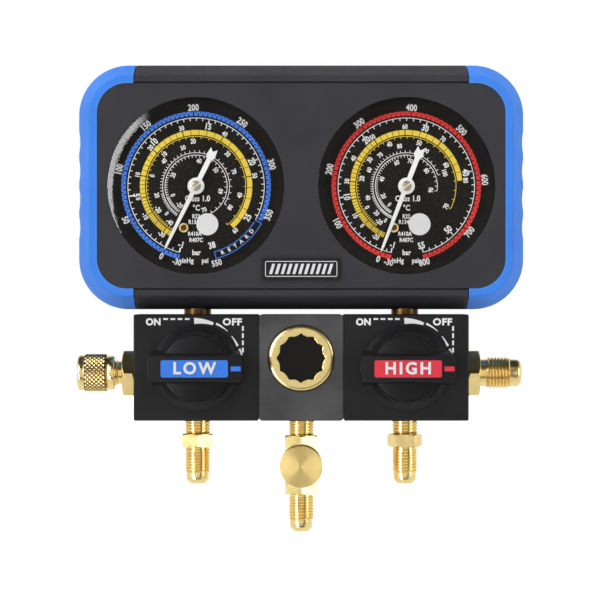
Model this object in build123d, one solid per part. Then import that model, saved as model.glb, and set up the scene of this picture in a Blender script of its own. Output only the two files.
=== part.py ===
from build123d import *
import math
import os

# Two-valve refrigerant manifold with two Bourdon gauges in a bumpered housing.
# Millimetres. +X is to the user's right, +Z is up and the front faces -Y. The pieces are drawn
# about the gauges: x = 0 half way between them, y = 0 in the plane of the pipe axes and z = 0 at
# the gauge hubs. "out" is a distance from the pipe plane towards the user, so out = -y.
# Every piece is moved at the end so that the hanging hook's pin lies on the origin.

# ---- layout -------------------------------------------------------------------------------
HUB_SPACING = 89.0          # gauge to gauge, valve to valve and outer hose port to hose port
RUN_FIT = 0.05              # radial clearance of a pin that turns or slides in its bore
SEAT_FIT = 0.1              # radial clearance of a piece screwed or pressed in its bore
CUT_PAST = 1.0              # how far a cut runs past the face that it opens

# ---- housing ------------------------------------------------------------------------------
SIDE_MARGIN = 11.2          # housing beyond the gauge cases, left and right
TOP_MARGIN = 12.85          # housing above and below the gauge cases
HOUSING_CORNER = 21.5
RIM_DEPTH = 5.0             # straight rim each side of the parting plane
FRONT_OUT = 20.0            # front face of the housing
BACK_OUT = -18.0            # back face of the housing
FRONT_BEVEL = 5.5           # how far the front face is smaller than the rim, all round
BACK_BEVEL = 5.0
COVER_WALL = 2.5
EDGE_ROUND = 1.0            # rounding of the front and back edges
GROOVE_W = 0.9              # shadow groove round the front panel
GROOVE_DEPTH = 1.2
POST_R = 3.3                # screw posts inside the covers
POST_INSET_X = 15.0         # corner posts in from the ends of the housing
POST_INSET_Z = 14.15        # corner posts in from its top and bottom
POST_MID_INSET = 19.15      # middle posts in from its top and bottom
SCREW_R = 1.3
SCREW_HEAD_R = 2.8
SCREW_HEAD_H = 1.8
SCREW_LENGTH = 18.0
SCREW_SINK = 3.6            # depth of the pockets for the screw heads
RIB_INSET = 6.0             # rib behind each gauge case, in from the case's edge

# ---- rubber bumpers -----------------------------------------------------------------------
BUMPER_SKIN = 2.6
BUMPER_REACH = 24.2         # how far each bumper comes in from its end of the housing
BAR_GAP = 0.4               # gap between a bumper and the housing's black bars
FINGER_COUNT = 4
FINGER_PITCH = 12.1
FINGER_W = 9.5
FINGER_DEPTH = 0.6
FINGER_MID_Z = 0.95

# ---- badge plate --------------------------------------------------------------------------
BADGE_W = 33.0
BADGE_H = 9.2
BADGE_T = 0.9
BADGE_RISE = 17.05          # badge's middle above the bottom of the housing
BADGE_CORNER = 0.9
BADGE_BORDER = 0.8

# ---- gauges -------------------------------------------------------------------------------
CASE_R = 39.3
CASE_WALL = 1.0
CASE_BACK_OUT = -12.0
LENS_FLANGE = 2.1           # lens flange round the dome that stands in the panel's opening
LENS_PLAY = 0.3             # between the dome and the panel
LENS_T = 1.6
LENS_PROUD = 0.6            # edge of the dome in front of the panel
LENS_RISE = 6.0             # from the dome's edge to its apex
DIAL_T = 0.8
DIAL_FIT = 0.2
DIAL_DROP = 0.7             # from the lens flange back to the face of the dial
DIAL_LEDGE = 0.7            # width of the ledge that carries the dial
DIAL_BORE_R = 1.2
POINTER_TIP = 30.0
POINTER_TAIL = 17.4
POINTER_T = 0.5
POINTER_DROP = 1.4          # from the dial's face out to the pointer's back
POINTER_HUB_R = 3.5
POINTER_CAP_R = 2.2
POINTER_CAP_H = 1.2
POINTER_ROOT_W = 1.0        # half widths of the pointer, from its hub to its tip and its tail
POINTER_NECK_W = 0.55
POINTER_TAIL_NECK_W = 1.05
POINTER_TAIL_W = 2.0
POINTER_TAIL_END_W = 1.5
POINTER_POINT_L = 2.4
POINTER_TAIL_L = 5.0        # widening end of the tail
POINTER_TAIL_END_L = 3.6
POINTER_TAIL_NOTCH = 1.4
POINTER_SLOT_W = 0.6
POINTER_SLOT_DEPTH = 0.4
POINTER_FIT = 0.01          # radial clearance on the arbor
LOW_REST = 206.4            # clockwise from the top to the low gauge's zero
HIGH_REST = 201.1           # clockwise from the top to the high gauge's zero
LOW_BACKSWING = 12.2        # from zero back to full vacuum
HIGH_BACKSWING = 8.1
LOW_UPSWING = 318.6           # from zero up to full scale
HIGH_UPSWING = 325.4
PLUG_X = 5.1                # calibration plug in the lens
PLUG_Z = -16.4
PLUG_R = 4.6
PLUG_HEAD_T = 0.9
PLUG_SHANK_R = 3.1
PLUG_SHANK_L = 2.6
PLUG_SEAT = 0.25            # depth of the flat seat spotted in the dome
PLUG_WALL = 0.9
ZERO_X = -5.2               # zero-adjusting screw
ZERO_Z = -17.5
ZERO_R = 1.95
ZERO_HEAD_T = 0.9
ZERO_SHANK_R = 0.9
ZERO_SLOT_W = 0.55
ZERO_GAP = 0.1              # between the dial and the screw's head

# ---- gauge movement -----------------------------------------------------------------------
GEAR_MODULE = 0.4
PINION_TEETH = 10
SECTOR_TEETH = 80           # on the full circle of which the sector is a part
SECTOR_SPARE_TEETH = 2      # beyond the last one in mesh, at each end
TOOTH_W = 1.5
TOOTH_ADDENDUM = 0.75       # in modules
TOOTH_DEDENDUM = 1.15
TOOTH_BACKLASH = 0.28
FLANK_ANGLE = 20.0
ARBOR_R = 0.6
SECTOR_PIN_R = 0.8
PLATE_T = 1.0
PLATE_GAP = 6.0             # between the two movement plates
PILLAR_R = 1.2
PILLAR_TOP_INSET = 3.0      # upper pillars in from the sides of the plates
PILLAR_TOP_DROP = 2.0
PILLAR_FOOT_INSET = 1.8     # lower pillars
PILLAR_FOOT_RISE = 1.5      # above the top of the socket
FRAME_W = 18.0
FRAME_CORNER = 2.0
FRAME_TOP_Z = 7.0
FRAME_FOOT = 4.0            # lap of the plates on the socket
SOCKET_W = 14.0
SOCKET_T = 10.0
SOCKET_COVER = 1.0          # from the tube's centre line up to the top of the socket
SOCKET_FOOT = 1.0           # from the case's inner wall up to the underside of the socket
STEM_R = 5.8
STEM_THREAD_R = 5.0
STEM_THREAD_L = 9.0
STEM_BORE_R = 1.5
TUBE_R = 27.0               # centre line of the Bourdon tube
TUBE_W = 7.0
TUBE_T = 2.2
TUBE_WALL = 0.5
TUBE_SWEEP = 275.0
TUBE_START_X = 2.6          # the tube's open end inside the socket
LINK_W = 1.6
LINK_T = 0.6
LINK_GAP = 0.4              # open play where the link meets the sector's tail
LINK_PIN_R = 0.9
TUBE_TIP_L = 3.0
TUBE_TIP_WALL = 0.5         # closed tip beyond the tube, all round
SECTOR_TAIL = 5.0
SECTOR_HUB_R = 2.0
SECTOR_RIM = 2.0            # width of the toothed rim below its tooth roots
SPOKE_W = 1.6

# ---- manifold blocks ----------------------------------------------------------------------
BLOCK_GAP = 2.15            # between the housing and the blocks
BLOCK_H = 45.1
BLOCK_BEVEL = 0.5
BLOCK_DEPTH = 32.0
SIDE_BLOCK_W = 53.0
MID_BLOCK_W = 36.0
SIDE_EDGE_R = 0.8
MID_EDGE_R = 1.6
PORT_DROP = 2.7             # side and cross passages below the middle of the blocks
PASSAGE_R = 2.25
CHAMBER_R = 7.1
CHAMBER_END_OUT = -7.0
NIPPLE_R = 4.0
NIPPLE_REACH = 5.0          # into each block
NIPPLE_END_GAP = 0.2
SEAL_R = 0.8
BOLT_R = 2.0
BOLT_HEAD_R = 3.5
BOLT_HEAD_L = 4.0
BOLT_SINK = 1.0             # head's face below the side of the block
BOLT_KEY_R = 1.7
BOLT_KEY_DEPTH = 2.2
BOLT_TAIL = 40.0            # thread left in the far block
BOLT_OUT = -10.5
BOLT_DZ = 16.5

# ---- sight glass --------------------------------------------------------------------------
SIGHT_DROP = 18.5           # sight glass below the top of the blocks
RING_R = 14.0
RING_PROUD = 0.6
RING_T = 9.6
RING_MOUTH = 0.6            # bevel of the block's edge round the ring
RING_BEVEL = 0.7
SOCKET_POINT_R = 10.4       # twelve-point socket
WINDOW_LEDGE = 1.4          # window's edge in from the ring's
WINDOW_T = 4.0
GASKET_T = 1.0
GASKET_W = 2.4
SIGHT_CHAMBER_END_OUT = -8.0

# ---- valves and knobs ---------------------------------------------------------------------
KNOB_GAP = 0.6
KNOB_BASE_R = 19.8
KNOB_RIM_T = 1.9
KNOB_FACE_R = 16.6
KNOB_FACE_H = 9.4           # face and bar above the foot of the knob
KNOB_GRIP_H = 17.4
KNOB_WALL = 2.6
KNOB_BOSS_WALL = 2.2
SKIRT_HOLLOW_R = 0.8        # how far the middle of the skirt draws in
SKIRT_HOLLOW_OUT = 0.2
GRIP_FOOT_W = 14.6
GRIP_TOP_W = 10.6
GRIP_ROUND = 0.8
GRIP_PAST = 2.0             # bar drawn past the skirt before it is trimmed
INSERT_L = 28.2
INSERT_W = 7.4
INSERT_T = 0.8
INSERT_CORNER = 1.0
INSERT_FIT = 0.1
MARK_L = 4.4
MARK_W = 2.2
MARK_GAP = 0.9              # from the insert to the indicator mark
SPINDLE_R = 3.0
SPINDLE_SQUARE = 4.2
SPINDLE_RISE = 12.4         # spindle's end above the foot of the knob
BALL_R = 5.9
GLAND_R = 8.6
GLAND_PROUD = 2.4
GLAND_DEPTH = 8.0

# ---- threaded ports -----------------------------------------------------------------------
FLARE_R = 5.555             # quarter-inch flare, 7/16 inch thread
FLARE_NOSE_R = 4.95
FLARE_TIP_R = 3.2
FLARE_BORE_R = 2.4
SHANK_R = 5.15              # shank screwed into a block
SHANK_L = 8.4
HOSE_NECK = 6.2
HOSE_HEX_AF = 13.0
HOSE_HEX_L = 5.7
HOSE_THREAD_L = 9.1
HOSE_RELIEF_L = 1.8
HOSE_NOSE_L = 4.8
TEE_HEX_AF = 14.0
TEE_NECK = 6.85
TEE_HEX_L = 25.35
TEE_RELIEF_L = 0.01
TEE_THREAD_L = 10.8
TEE_NOSE_L = 5.1
TEE_PORT_DROP = 12.25       # service port below the top of the tee's hexagon
TEE_PORT_OUT = 16.8
TEE_COLLAR_OUT = 9.4
TEE_COLLAR_WALL = 0.9
TEE_TIP_L = 1.6
TEE_TIP_FLAT = 0.2
SIDE_HEX_AF = 19.0
SIDE_HEX_L = 5.6
SIDE_RELIEF_L = 1.8
SIDE_SHANK_R = 6.0
LEFT_THREAD_L = 9.4
LEFT_NOSE_L = 3.0
RIGHT_NECK_R = 5.8
RIGHT_NECK_L = 2.7
RIGHT_THREAD_R = 6.8
RIGHT_THREAD_L = 10.3
RIGHT_NOSE_R = 5.85
RIGHT_NOSE_L = 5.0
RIGHT_ROUND_L = 2.2         # rounding of the nose, in two steps
RIGHT_ROUND_R = 2.4
RIGHT_STEP_L = 0.9
RIGHT_STEP_R = 0.7

# ---- caps and cores -----------------------------------------------------------------------
CAP_RIM_R = 7.35
CAP_RIM_L = 2.9
CAP_KNURL_R = 8.25
CAP_KNURL_L = 10.4
CAP_KNURL_BEVEL = 0.5
CAP_END_R = 7.55
CAP_END_L = 2.6
CAP_ROUND_L = 1.2           # rounding of the closed end, in two steps
CAP_ROUND_R = 1.4
CAP_STEP_L = 0.35
CAP_STEP_R = 0.4
CAP_GAP = 1.7               # from the port's relief to the cap's mouth
CAP_SEAL_T = 1.0
FRONT_CAP_R = 9.1
FRONT_CAP_GAP = 0.4         # from the port's collar to the cap's mouth
FRONT_CAP_END = 2.2         # thickness of the cap's end
FRONT_CAP_BEVEL = 0.8
CORE_R = 2.2
CORE_L = 7.0
CORE_PIN_R = 0.6
CORE_STEP = 0.5             # how much smaller the pin's seal disc is than the core
CORE_SEAL_T = 0.9
CORE_DEPTH = 1.2            # core's face below the tip of its port
CORE_PIN_INSET = 0.5        # pin's end below the tip of its port

# ---- hanging hook -------------------------------------------------------------------------
HOOK_ROD_R = 1.75
HOOK_STANDOFF = 2.2         # pin's axis behind the plate of the bracket
HOOK_DROP = 18.15           # pin's axis below the top of the housing
HOOK_PIN_L = 20.0
HOOK_SHANK_L = 38.0
HOOK_BEND_R = 11.0
HOOK_TIP_L = 8.0
HOOK_RELIEF = 0.4           # round the folded hook, in the bracket's plate
BRACKET_W = 33.0
BRACKET_H = 20.0
BRACKET_T = 2.0
BRACKET_CORNER = 2.0
EAR_R = 3.6
EAR_GAP = 11.0              # between the two ears
EAR_T = 2.0
BRACKET_SCREW_X = 13.2
BRACKET_SCREW_R = 1.2
BRACKET_SCREW_HEAD_R = 2.2
BRACKET_SCREW_HEAD_H = 1.2
BRACKET_SCREW_L = 3.4

# ---- sizes that follow --------------------------------------------------------------------
HALF_SPACING = HUB_SPACING / 2
HOUSING_W = HUB_SPACING + 2 * (CASE_R + SIDE_MARGIN)
HOUSING_H = 2 * (CASE_R + TOP_MARGIN)
POST_X = HOUSING_W / 2 - POST_INSET_X
POST_Z = HOUSING_H / 2 - POST_INSET_Z
POST_MID_Z = HOUSING_H / 2 - POST_MID_INSET
BADGE_Z = BADGE_RISE - HOUSING_H / 2
BUMPER_START_X = HOUSING_W / 2 - BUMPER_REACH
FRONT_SLOPE = FRONT_BEVEL / (FRONT_OUT - RIM_DEPTH)
BACK_SLOPE = BACK_BEVEL / (-BACK_OUT - RIM_DEPTH)
PANEL_BACK_OUT = FRONT_OUT - COVER_WALL
REAR_INNER_OUT = BACK_OUT + COVER_WALL
FLANGE_BACK_OUT = PANEL_BACK_OUT - LENS_T
DIAL_OUT = FLANGE_BACK_OUT - DIAL_DROP
POINTER_OUT = DIAL_OUT + POINTER_DROP
LEDGE_OUT = DIAL_OUT - DIAL_T
LENS_R = CASE_R - LENS_FLANGE
LENS_OPENING_R = LENS_R + LENS_PLAY
LENS_APEX_OUT = FRONT_OUT + LENS_PROUD + LENS_RISE
LENS_BALL_R = (LENS_R ** 2 + LENS_RISE ** 2) / (2 * LENS_RISE)
LENS_CENTRE_OUT = LENS_APEX_OUT - LENS_BALL_R
BLOCK_OUT = BLOCK_DEPTH / 2
BLOCK_TOP = -HOUSING_H / 2 - BLOCK_GAP
BLOCK_BOTTOM = BLOCK_TOP - BLOCK_H
VALVE_Z = BLOCK_TOP - BLOCK_H / 2
PORT_Z = VALVE_Z - PORT_DROP
MID_X = MID_BLOCK_W / 2
SIDE_X = MID_X + SIDE_BLOCK_W
GEAR_RATIO = SECTOR_TEETH / PINION_TEETH
PINION_PITCH_R = GEAR_MODULE * PINION_TEETH / 2
SECTOR_PITCH_R = GEAR_MODULE * SECTOR_TEETH / 2
GEAR_CENTRES = PINION_PITCH_R + SECTOR_PITCH_R
BACK_PLATE_OUT = SOCKET_T / 2
FRONT_PLATE_OUT = BACK_PLATE_OUT + PLATE_T + PLATE_GAP
SOCKET_TOP_Z = SOCKET_COVER - TUBE_R
TOOTH_OUT = BACK_PLATE_OUT + PLATE_T + PLATE_GAP / 2
LINK_OUT = TOOTH_OUT + TOOTH_W / 2 + LINK_GAP + LINK_T
TUBE_TIP_ANGLE = TUBE_SWEEP - 90 + math.degrees(math.asin(TUBE_START_X / TUBE_R))
SIGHT_Z = BLOCK_TOP - SIGHT_DROP
WINDOW_R = RING_R - WINDOW_LEDGE
SIGHT_CHAMBER_R = WINDOW_R - GASKET_W
RING_OUT = BLOCK_OUT + RING_PROUD
WINDOW_OUT = RING_OUT - RING_T
GASKET_OUT = WINDOW_OUT - WINDOW_T
KNOB_BASE_OUT = BLOCK_OUT + KNOB_GAP
KNOB_FACE_OUT = KNOB_BASE_OUT + KNOB_FACE_H
KNOB_GRIP_OUT = KNOB_BASE_OUT + KNOB_GRIP_H
SPINDLE_END_OUT = KNOB_BASE_OUT + SPINDLE_RISE
MARK_FROM = INSERT_L / 2 + MARK_GAP
TEE_HEX_TOP = BLOCK_BOTTOM - TEE_NECK
SERVICE_Z = TEE_HEX_TOP - TEE_PORT_DROP
LEFT_TIP = SIDE_HEX_L + SIDE_RELIEF_L + LEFT_THREAD_L + LEFT_NOSE_L
CAP_START = SIDE_HEX_L + SIDE_RELIEF_L + CAP_GAP
FRONT_CAP_MOUTH_OUT = TEE_COLLAR_OUT + FRONT_CAP_GAP
FRONT_CAP_FACE_OUT = TEE_PORT_OUT + CAP_SEAL_T + FRONT_CAP_END
CORE_SEAT = -CORE_DEPTH - CORE_L
HOUSING_BACK_Y = -BACK_OUT
HOOK_PIN_Y = HOUSING_BACK_Y + BRACKET_T + HOOK_STANDOFF
HOOK_PIN_Z = HOUSING_H / 2 - HOOK_DROP

pieces = {}


# ---- small helpers ------------------------------------------------------------------------
def disc(radius, out_low, out_high, x=0.0, z=0.0):
    """Round bar along the front-to-back direction between two distances out."""
    middle = (out_low + out_high) / 2
    return Plane.XZ * Pos(x, z, middle) * Cylinder(radius, out_high - out_low)


def tall_bar(radius, z_low, z_high, x=0.0, out=0.0):
    """Round upright bar."""
    return Pos(x, -out, (z_low + z_high) / 2) * Cylinder(radius, z_high - z_low)


def cross_bar(radius, x_low, x_high, out=0.0, z=0.0):
    """Round bar from left to right."""
    return Pos((x_low + x_high) / 2, -out, z) * Rot(0, 90, 0) * Cylinder(radius, x_high - x_low)


def facing(sketch, out_low, out_high):
    """Prism of a sketch drawn as the user sees it, between two distances out."""
    return Plane.XZ * Pos(0, 0, out_low) * extrude(sketch, out_high - out_low)


def turned(outline):
    """Solid turned about the Z axis from (radius, height) points."""
    profile = make_face(Polyline([(r, 0, h) for r, h in outline], close=True).edges())
    return revolve(profile, Axis.Z)


def hex_bar(across_flats, height, vertex_first=True):
    """Upright hexagon bar from z = 0 down; vertex_first turns an edge to the user."""
    turn = 90 if vertex_first else 0
    corner = across_flats / math.sqrt(3)
    bar = extrude(RegularPolygon(corner, 6, rotation=turn), -height)
    rounding = turned([
        (0, 0), (corner * 0.93, 0), (corner * 1.02, -corner * 0.05),
        (corner * 1.02, corner * 0.05 - height), (corner * 0.93, -height), (0, -height),
    ])
    return bar & rounding


def at_port(solid, x, z):
    """Solid drawn downward from z = 0, set under a block."""
    return Pos(x, 0, z) * solid


def to_side(solid, side, z):
    """Solid drawn downward from z = 0, laid along X away from a block's side."""
    turn = Rot(0, 90, 0) if side < 0 else Rot(0, -90, 0)
    return Pos(side * SIDE_X, 0, z) * turn * solid


def both_sides(shape):
    """The shape and its copy at the other gauge."""
    return [Pos(side * HALF_SPACING, 0, 0) * shape for side in (-1, 1)]


# ---- housing ------------------------------------------------------------------------------
def tray(inset, depth, slope):
    """Rounded block of one cover: a straight rim, then sides that lean in."""
    outline = RectangleRounded(
        HOUSING_W - 2 * inset, HOUSING_H - 2 * inset, HOUSING_CORNER - inset
    )
    rim = extrude(outline, RIM_DEPTH)
    lean = math.degrees(math.atan(slope))
    form = rim + Pos(0, 0, RIM_DEPTH) * extrude(outline, depth - RIM_DEPTH, taper=lean)
    return fillet(form.edges().group_by(Axis.Z)[-1], EDGE_ROUND)


def front_form(inset, out):
    return Plane.XZ * tray(inset, out, FRONT_SLOPE)


def back_form(inset, depth):
    return Plane.ZX * Rot(0, 0, 90) * tray(inset, depth, BACK_SLOPE)


def middle_slab(half_width):
    """Slab that keeps only the middle of the housing."""
    return Box(2 * half_width, HOUSING_W, 2 * HOUSING_H)


def cover_body(form, depth):
    """Outside of a cover: bumper seats at the ends and full-height bars between them."""
    core = form(BUMPER_SKIN, depth)
    bars = form(0, depth) & middle_slab(BUMPER_START_X - BAR_GAP)
    return core + bars


def post_places():
    corners = [(sx * POST_X, sz * POST_Z) for sx in (-1, 1) for sz in (-1, 1)]
    return corners + [(0, POST_MID_Z), (0, -POST_MID_Z)]


def stem_holes():
    cut = tall_bar(STEM_R + BAR_GAP, -HOUSING_H, -HOUSING_H / 4)
    return both_sides(cut)


def front_cover():
    cover = cover_body(front_form, FRONT_OUT) - front_form(
        BUMPER_SKIN + COVER_WALL, PANEL_BACK_OUT
    )
    for x, z in post_places():
        cover += disc(POST_R, 0, PANEL_BACK_OUT, x, z)
        cover -= disc(SCREW_R, -CUT_PAST, SCREW_LENGTH - SCREW_SINK, x, z)
    outer = BUMPER_SKIN + FRONT_BEVEL
    groove_outer = RectangleRounded(
        HOUSING_W - 2 * outer, HOUSING_H - 2 * outer, HOUSING_CORNER - outer
    )
    inner = outer + GROOVE_W
    groove_inner = RectangleRounded(
        HOUSING_W - 2 * inner, HOUSING_H - 2 * inner, HOUSING_CORNER - inner
    )
    cover -= facing(groove_outer - groove_inner, FRONT_OUT - GROOVE_DEPTH, FRONT_OUT)
    for side in (-1, 1):
        cover -= disc(LENS_OPENING_R, 0, FRONT_OUT + CUT_PAST, side * HALF_SPACING)
    for hole in stem_holes():
        cover -= hole
    return cover


def rear_cover():
    cover = cover_body(back_form, -BACK_OUT) - back_form(
        BUMPER_SKIN + COVER_WALL, -REAR_INNER_OUT
    )
    rib = disc(CASE_R - RIB_INSET, REAR_INNER_OUT, CASE_BACK_OUT)
    rib -= disc(CASE_R - RIB_INSET - COVER_WALL, REAR_INNER_OUT, CASE_BACK_OUT)
    for ring in both_sides(rib):
        cover += ring
    for x, z in post_places():
        cover += disc(POST_R, REAR_INNER_OUT, 0, x, z)
        cover -= disc(SCREW_R + SEAT_FIT, BACK_OUT, 0, x, z)
        cover -= disc(SCREW_HEAD_R + SEAT_FIT, BACK_OUT, BACK_OUT + SCREW_SINK, x, z)
    for x in (-BRACKET_SCREW_X, BRACKET_SCREW_X):
        cover -= disc(BRACKET_SCREW_R, BACK_OUT, REAR_INNER_OUT, x, HOOK_PIN_Z)
    for hole in stem_holes():
        cover -= hole
    return cover


def bumper(side):
    """Rubber channel that wraps one end of both covers."""
    skin = front_form(0, FRONT_OUT) - front_form(BUMPER_SKIN, FRONT_OUT)
    skin += back_form(0, -BACK_OUT) - back_form(BUMPER_SKIN, -BACK_OUT)
    skin -= middle_slab(BUMPER_START_X)
    half = Pos(side * HOUSING_W / 2, 0, 0) * Box(HOUSING_W, HOUSING_W, 2 * HOUSING_H)
    skin = skin & half
    finger_r = (FINGER_W ** 2 / 4 + FINGER_DEPTH ** 2) / (2 * FINGER_DEPTH)
    for index in range(FINGER_COUNT):
        z = FINGER_MID_Z + (index - (FINGER_COUNT - 1) / 2) * FINGER_PITCH
        x = side * (HOUSING_W / 2 - FINGER_DEPTH + finger_r)
        skin -= disc(finger_r, BACK_OUT, FRONT_OUT, x, z)
    return skin


def badge_plate():
    plate = facing(RectangleRounded(BADGE_W, BADGE_H, BADGE_CORNER), FRONT_OUT, FRONT_OUT + BADGE_T)
    border = 2 * BADGE_BORDER
    field = RectangleRounded(BADGE_W - border, BADGE_H - border, BADGE_CORNER / 2)
    plate -= facing(field, FRONT_OUT + BADGE_T / 2, FRONT_OUT + BADGE_T)
    return Pos(0, 0, BADGE_Z) * plate


def housing_screws():
    group = []
    seat = BACK_OUT + SCREW_SINK
    for x, z in post_places():
        shank = disc(SCREW_R - SEAT_FIT, seat, seat + SCREW_LENGTH, x, z)
        group.append(shank + disc(SCREW_HEAD_R, seat - SCREW_HEAD_H, seat, x, z))
    face = BACK_OUT - BRACKET_T
    for x in (-BRACKET_SCREW_X, BRACKET_SCREW_X):
        shank = disc(BRACKET_SCREW_R - SEAT_FIT, face, face + BRACKET_SCREW_L, x, HOOK_PIN_Z)
        head = disc(BRACKET_SCREW_HEAD_R, face - BRACKET_SCREW_HEAD_H, face, x, HOOK_PIN_Z)
        group.append(shank + head)
    return group


pieces["front_cover"] = front_cover()
pieces["rear_cover"] = rear_cover()
pieces["bumper_left"] = bumper(-1)
pieces["bumper_right"] = bumper(1)
pieces["badge_plate"] = badge_plate()
pieces["housing_screws"] = housing_screws()


# ---- gauges -------------------------------------------------------------------------------
def gauge_case():
    cup = disc(CASE_R, CASE_BACK_OUT, FLANGE_BACK_OUT)
    cup -= disc(CASE_R - CASE_WALL - DIAL_LEDGE, CASE_BACK_OUT + CASE_WALL, LEDGE_OUT)
    cup -= disc(CASE_R - CASE_WALL, LEDGE_OUT, FLANGE_BACK_OUT)
    return cup - tall_bar(STEM_R + SEAT_FIT, -CASE_R - CUT_PAST, -CASE_R / 2)


def plug_seat():
    """Location of the calibration plug: on the dome, square to its surface."""
    rise = math.sqrt(LENS_BALL_R ** 2 - PLUG_X ** 2 - PLUG_Z ** 2)
    outward = Vector(PLUG_X, -rise, PLUG_Z).normalized()
    centre = Vector(0, -LENS_CENTRE_OUT, 0)
    return Plane(origin=centre + outward * (LENS_BALL_R - PLUG_SEAT), z_dir=outward)


def gauge_lens():
    past_apex = LENS_APEX_OUT + LENS_T
    lens = disc(LENS_R, FLANGE_BACK_OUT, past_apex)
    lens &= Pos(0, -LENS_CENTRE_OUT, 0) * Sphere(LENS_BALL_R)
    hollow = disc(LENS_R - LENS_T, FLANGE_BACK_OUT, past_apex)
    hollow &= Pos(0, -LENS_CENTRE_OUT, 0) * Sphere(LENS_BALL_R - LENS_T)
    lens = lens - hollow
    flange = disc(CASE_R, FLANGE_BACK_OUT, PANEL_BACK_OUT)
    lens += flange - disc(LENS_R - LENS_T, FLANGE_BACK_OUT, PANEL_BACK_OUT)
    seat = plug_seat()
    lens -= seat * Pos(0, 0, PLUG_HEAD_T / 2) * Cylinder(PLUG_R + SEAT_FIT, PLUG_HEAD_T)
    return lens - seat * Cylinder(PLUG_SHANK_R + RUN_FIT, 4 * LENS_T)


def lens_plug():
    seat = plug_seat()
    head = seat * Pos(0, 0, PLUG_HEAD_T / 2) * Cylinder(PLUG_R, PLUG_HEAD_T)
    shank = seat * Pos(0, 0, -PLUG_SHANK_L / 2) * Cylinder(PLUG_SHANK_R, PLUG_SHANK_L)
    hollow_r = PLUG_SHANK_R - PLUG_WALL
    hollow = seat * Pos(0, 0, -PLUG_SHANK_L / 2) * Cylinder(hollow_r, PLUG_SHANK_L)
    return head + shank - hollow


def gauge_dial():
    dial = disc(CASE_R - CASE_WALL - DIAL_FIT, LEDGE_OUT, DIAL_OUT)
    dial -= disc(DIAL_BORE_R, LEDGE_OUT, DIAL_OUT)
    return dial - disc(ZERO_SHANK_R + DIAL_FIT, LEDGE_OUT, DIAL_OUT, ZERO_X, ZERO_Z)


def gauge_socket():
    """Brass socket in the case, with the stem that screws into the block."""
    foot_z = SOCKET_FOOT - (CASE_R - CASE_WALL - DIAL_LEDGE)
    block = Pos(0, 0, (SOCKET_TOP_Z + foot_z) / 2) * Box(
        SOCKET_W, SOCKET_T, SOCKET_TOP_Z - foot_z
    )
    stem = tall_bar(STEM_R, BLOCK_TOP, foot_z)
    thread = tall_bar(STEM_THREAD_R, BLOCK_TOP - STEM_THREAD_L, BLOCK_TOP)
    socket = block + stem + thread - tube_arc(TUBE_W + 2 * SEAT_FIT, TUBE_T + 2 * SEAT_FIT)
    return socket - tall_bar(STEM_BORE_R, BLOCK_TOP - STEM_THREAD_L, -TUBE_R)


def tube_arc(width, thickness):
    """Ring of flattened section, from the socket's slot up the right and round to the tip."""
    section = Pos(TUBE_R, 0) * Rot(0, 0, 90) * SlotOverall(width, thickness)
    return Rot(0, -TUBE_TIP_ANGLE, 0) * revolve(section, Axis.Y, TUBE_SWEEP)


def bourdon_tube():
    """C-shaped tube brazed in the socket, with its closed tip and the tip's pin."""
    tube = tube_arc(TUBE_W, TUBE_T) - tube_arc(TUBE_W - 2 * TUBE_WALL, TUBE_T - 2 * TUBE_WALL)
    closed = 2 * TUBE_TIP_WALL
    tip = Pos(TUBE_R, 0, TUBE_TIP_L / 2) * Box(TUBE_T + closed, TUBE_W + closed, TUBE_TIP_L)
    tip += Plane.XZ * Pos(TUBE_R, TUBE_TIP_L / 2, LINK_OUT / 2) * Cylinder(LINK_PIN_R, LINK_OUT)
    return tube + Rot(0, -TUBE_TIP_ANGLE, 0) * tip


def tube_link():
    """Link from the tube's tip to the sector's tail."""
    tip_r = math.hypot(TUBE_R, TUBE_TIP_L / 2)
    angle = math.radians(TUBE_TIP_ANGLE) + math.atan(TUBE_TIP_L / 2 / TUBE_R)
    tip = Vector(tip_r * math.cos(angle), tip_r * math.sin(angle))
    tail = Vector(0, -GEAR_CENTRES - SECTOR_TAIL)
    bar = SlotCenterToCenter((tip - tail).length, 2 * LINK_W)
    lean = math.degrees(math.atan2(tip.Y - tail.Y, tip.X - tail.X))
    middle = (tip + tail) / 2
    plate = Pos(middle.X, middle.Y) * Rot(0, 0, lean) * bar
    for end in (tip, tail):
        plate -= Pos(end.X, end.Y) * Circle(LINK_PIN_R + RUN_FIT)
    return facing(plate, LINK_OUT - LINK_T, LINK_OUT)


def gear_outline(teeth, first, last, root_hub):
    """Points of a run of straight-flanked teeth, counter-clockwise from +X."""
    pitch_r = GEAR_MODULE * teeth / 2
    tip_r = pitch_r + TOOTH_ADDENDUM * GEAR_MODULE
    root_r = pitch_r - TOOTH_DEDENDUM * GEAR_MODULE
    half = (math.pi / 2 - TOOTH_BACKLASH) * GEAR_MODULE / 2
    lean = math.tan(math.radians(FLANK_ANGLE))
    half_tip = half - TOOTH_ADDENDUM * GEAR_MODULE * lean
    half_root = half + TOOTH_DEDENDUM * GEAR_MODULE * lean
    points = list(root_hub)
    for index in range(first, last + 1):
        angle = 2 * math.pi * index / teeth
        radial = Vector(math.cos(angle), math.sin(angle))
        across = Vector(-math.sin(angle), math.cos(angle))
        points.append(radial * root_r - across * half_root)
        points.append(radial * tip_r - across * half_tip)
        points.append(radial * tip_r + across * half_tip)
        points.append(radial * root_r + across * half_root)
    return points


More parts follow.
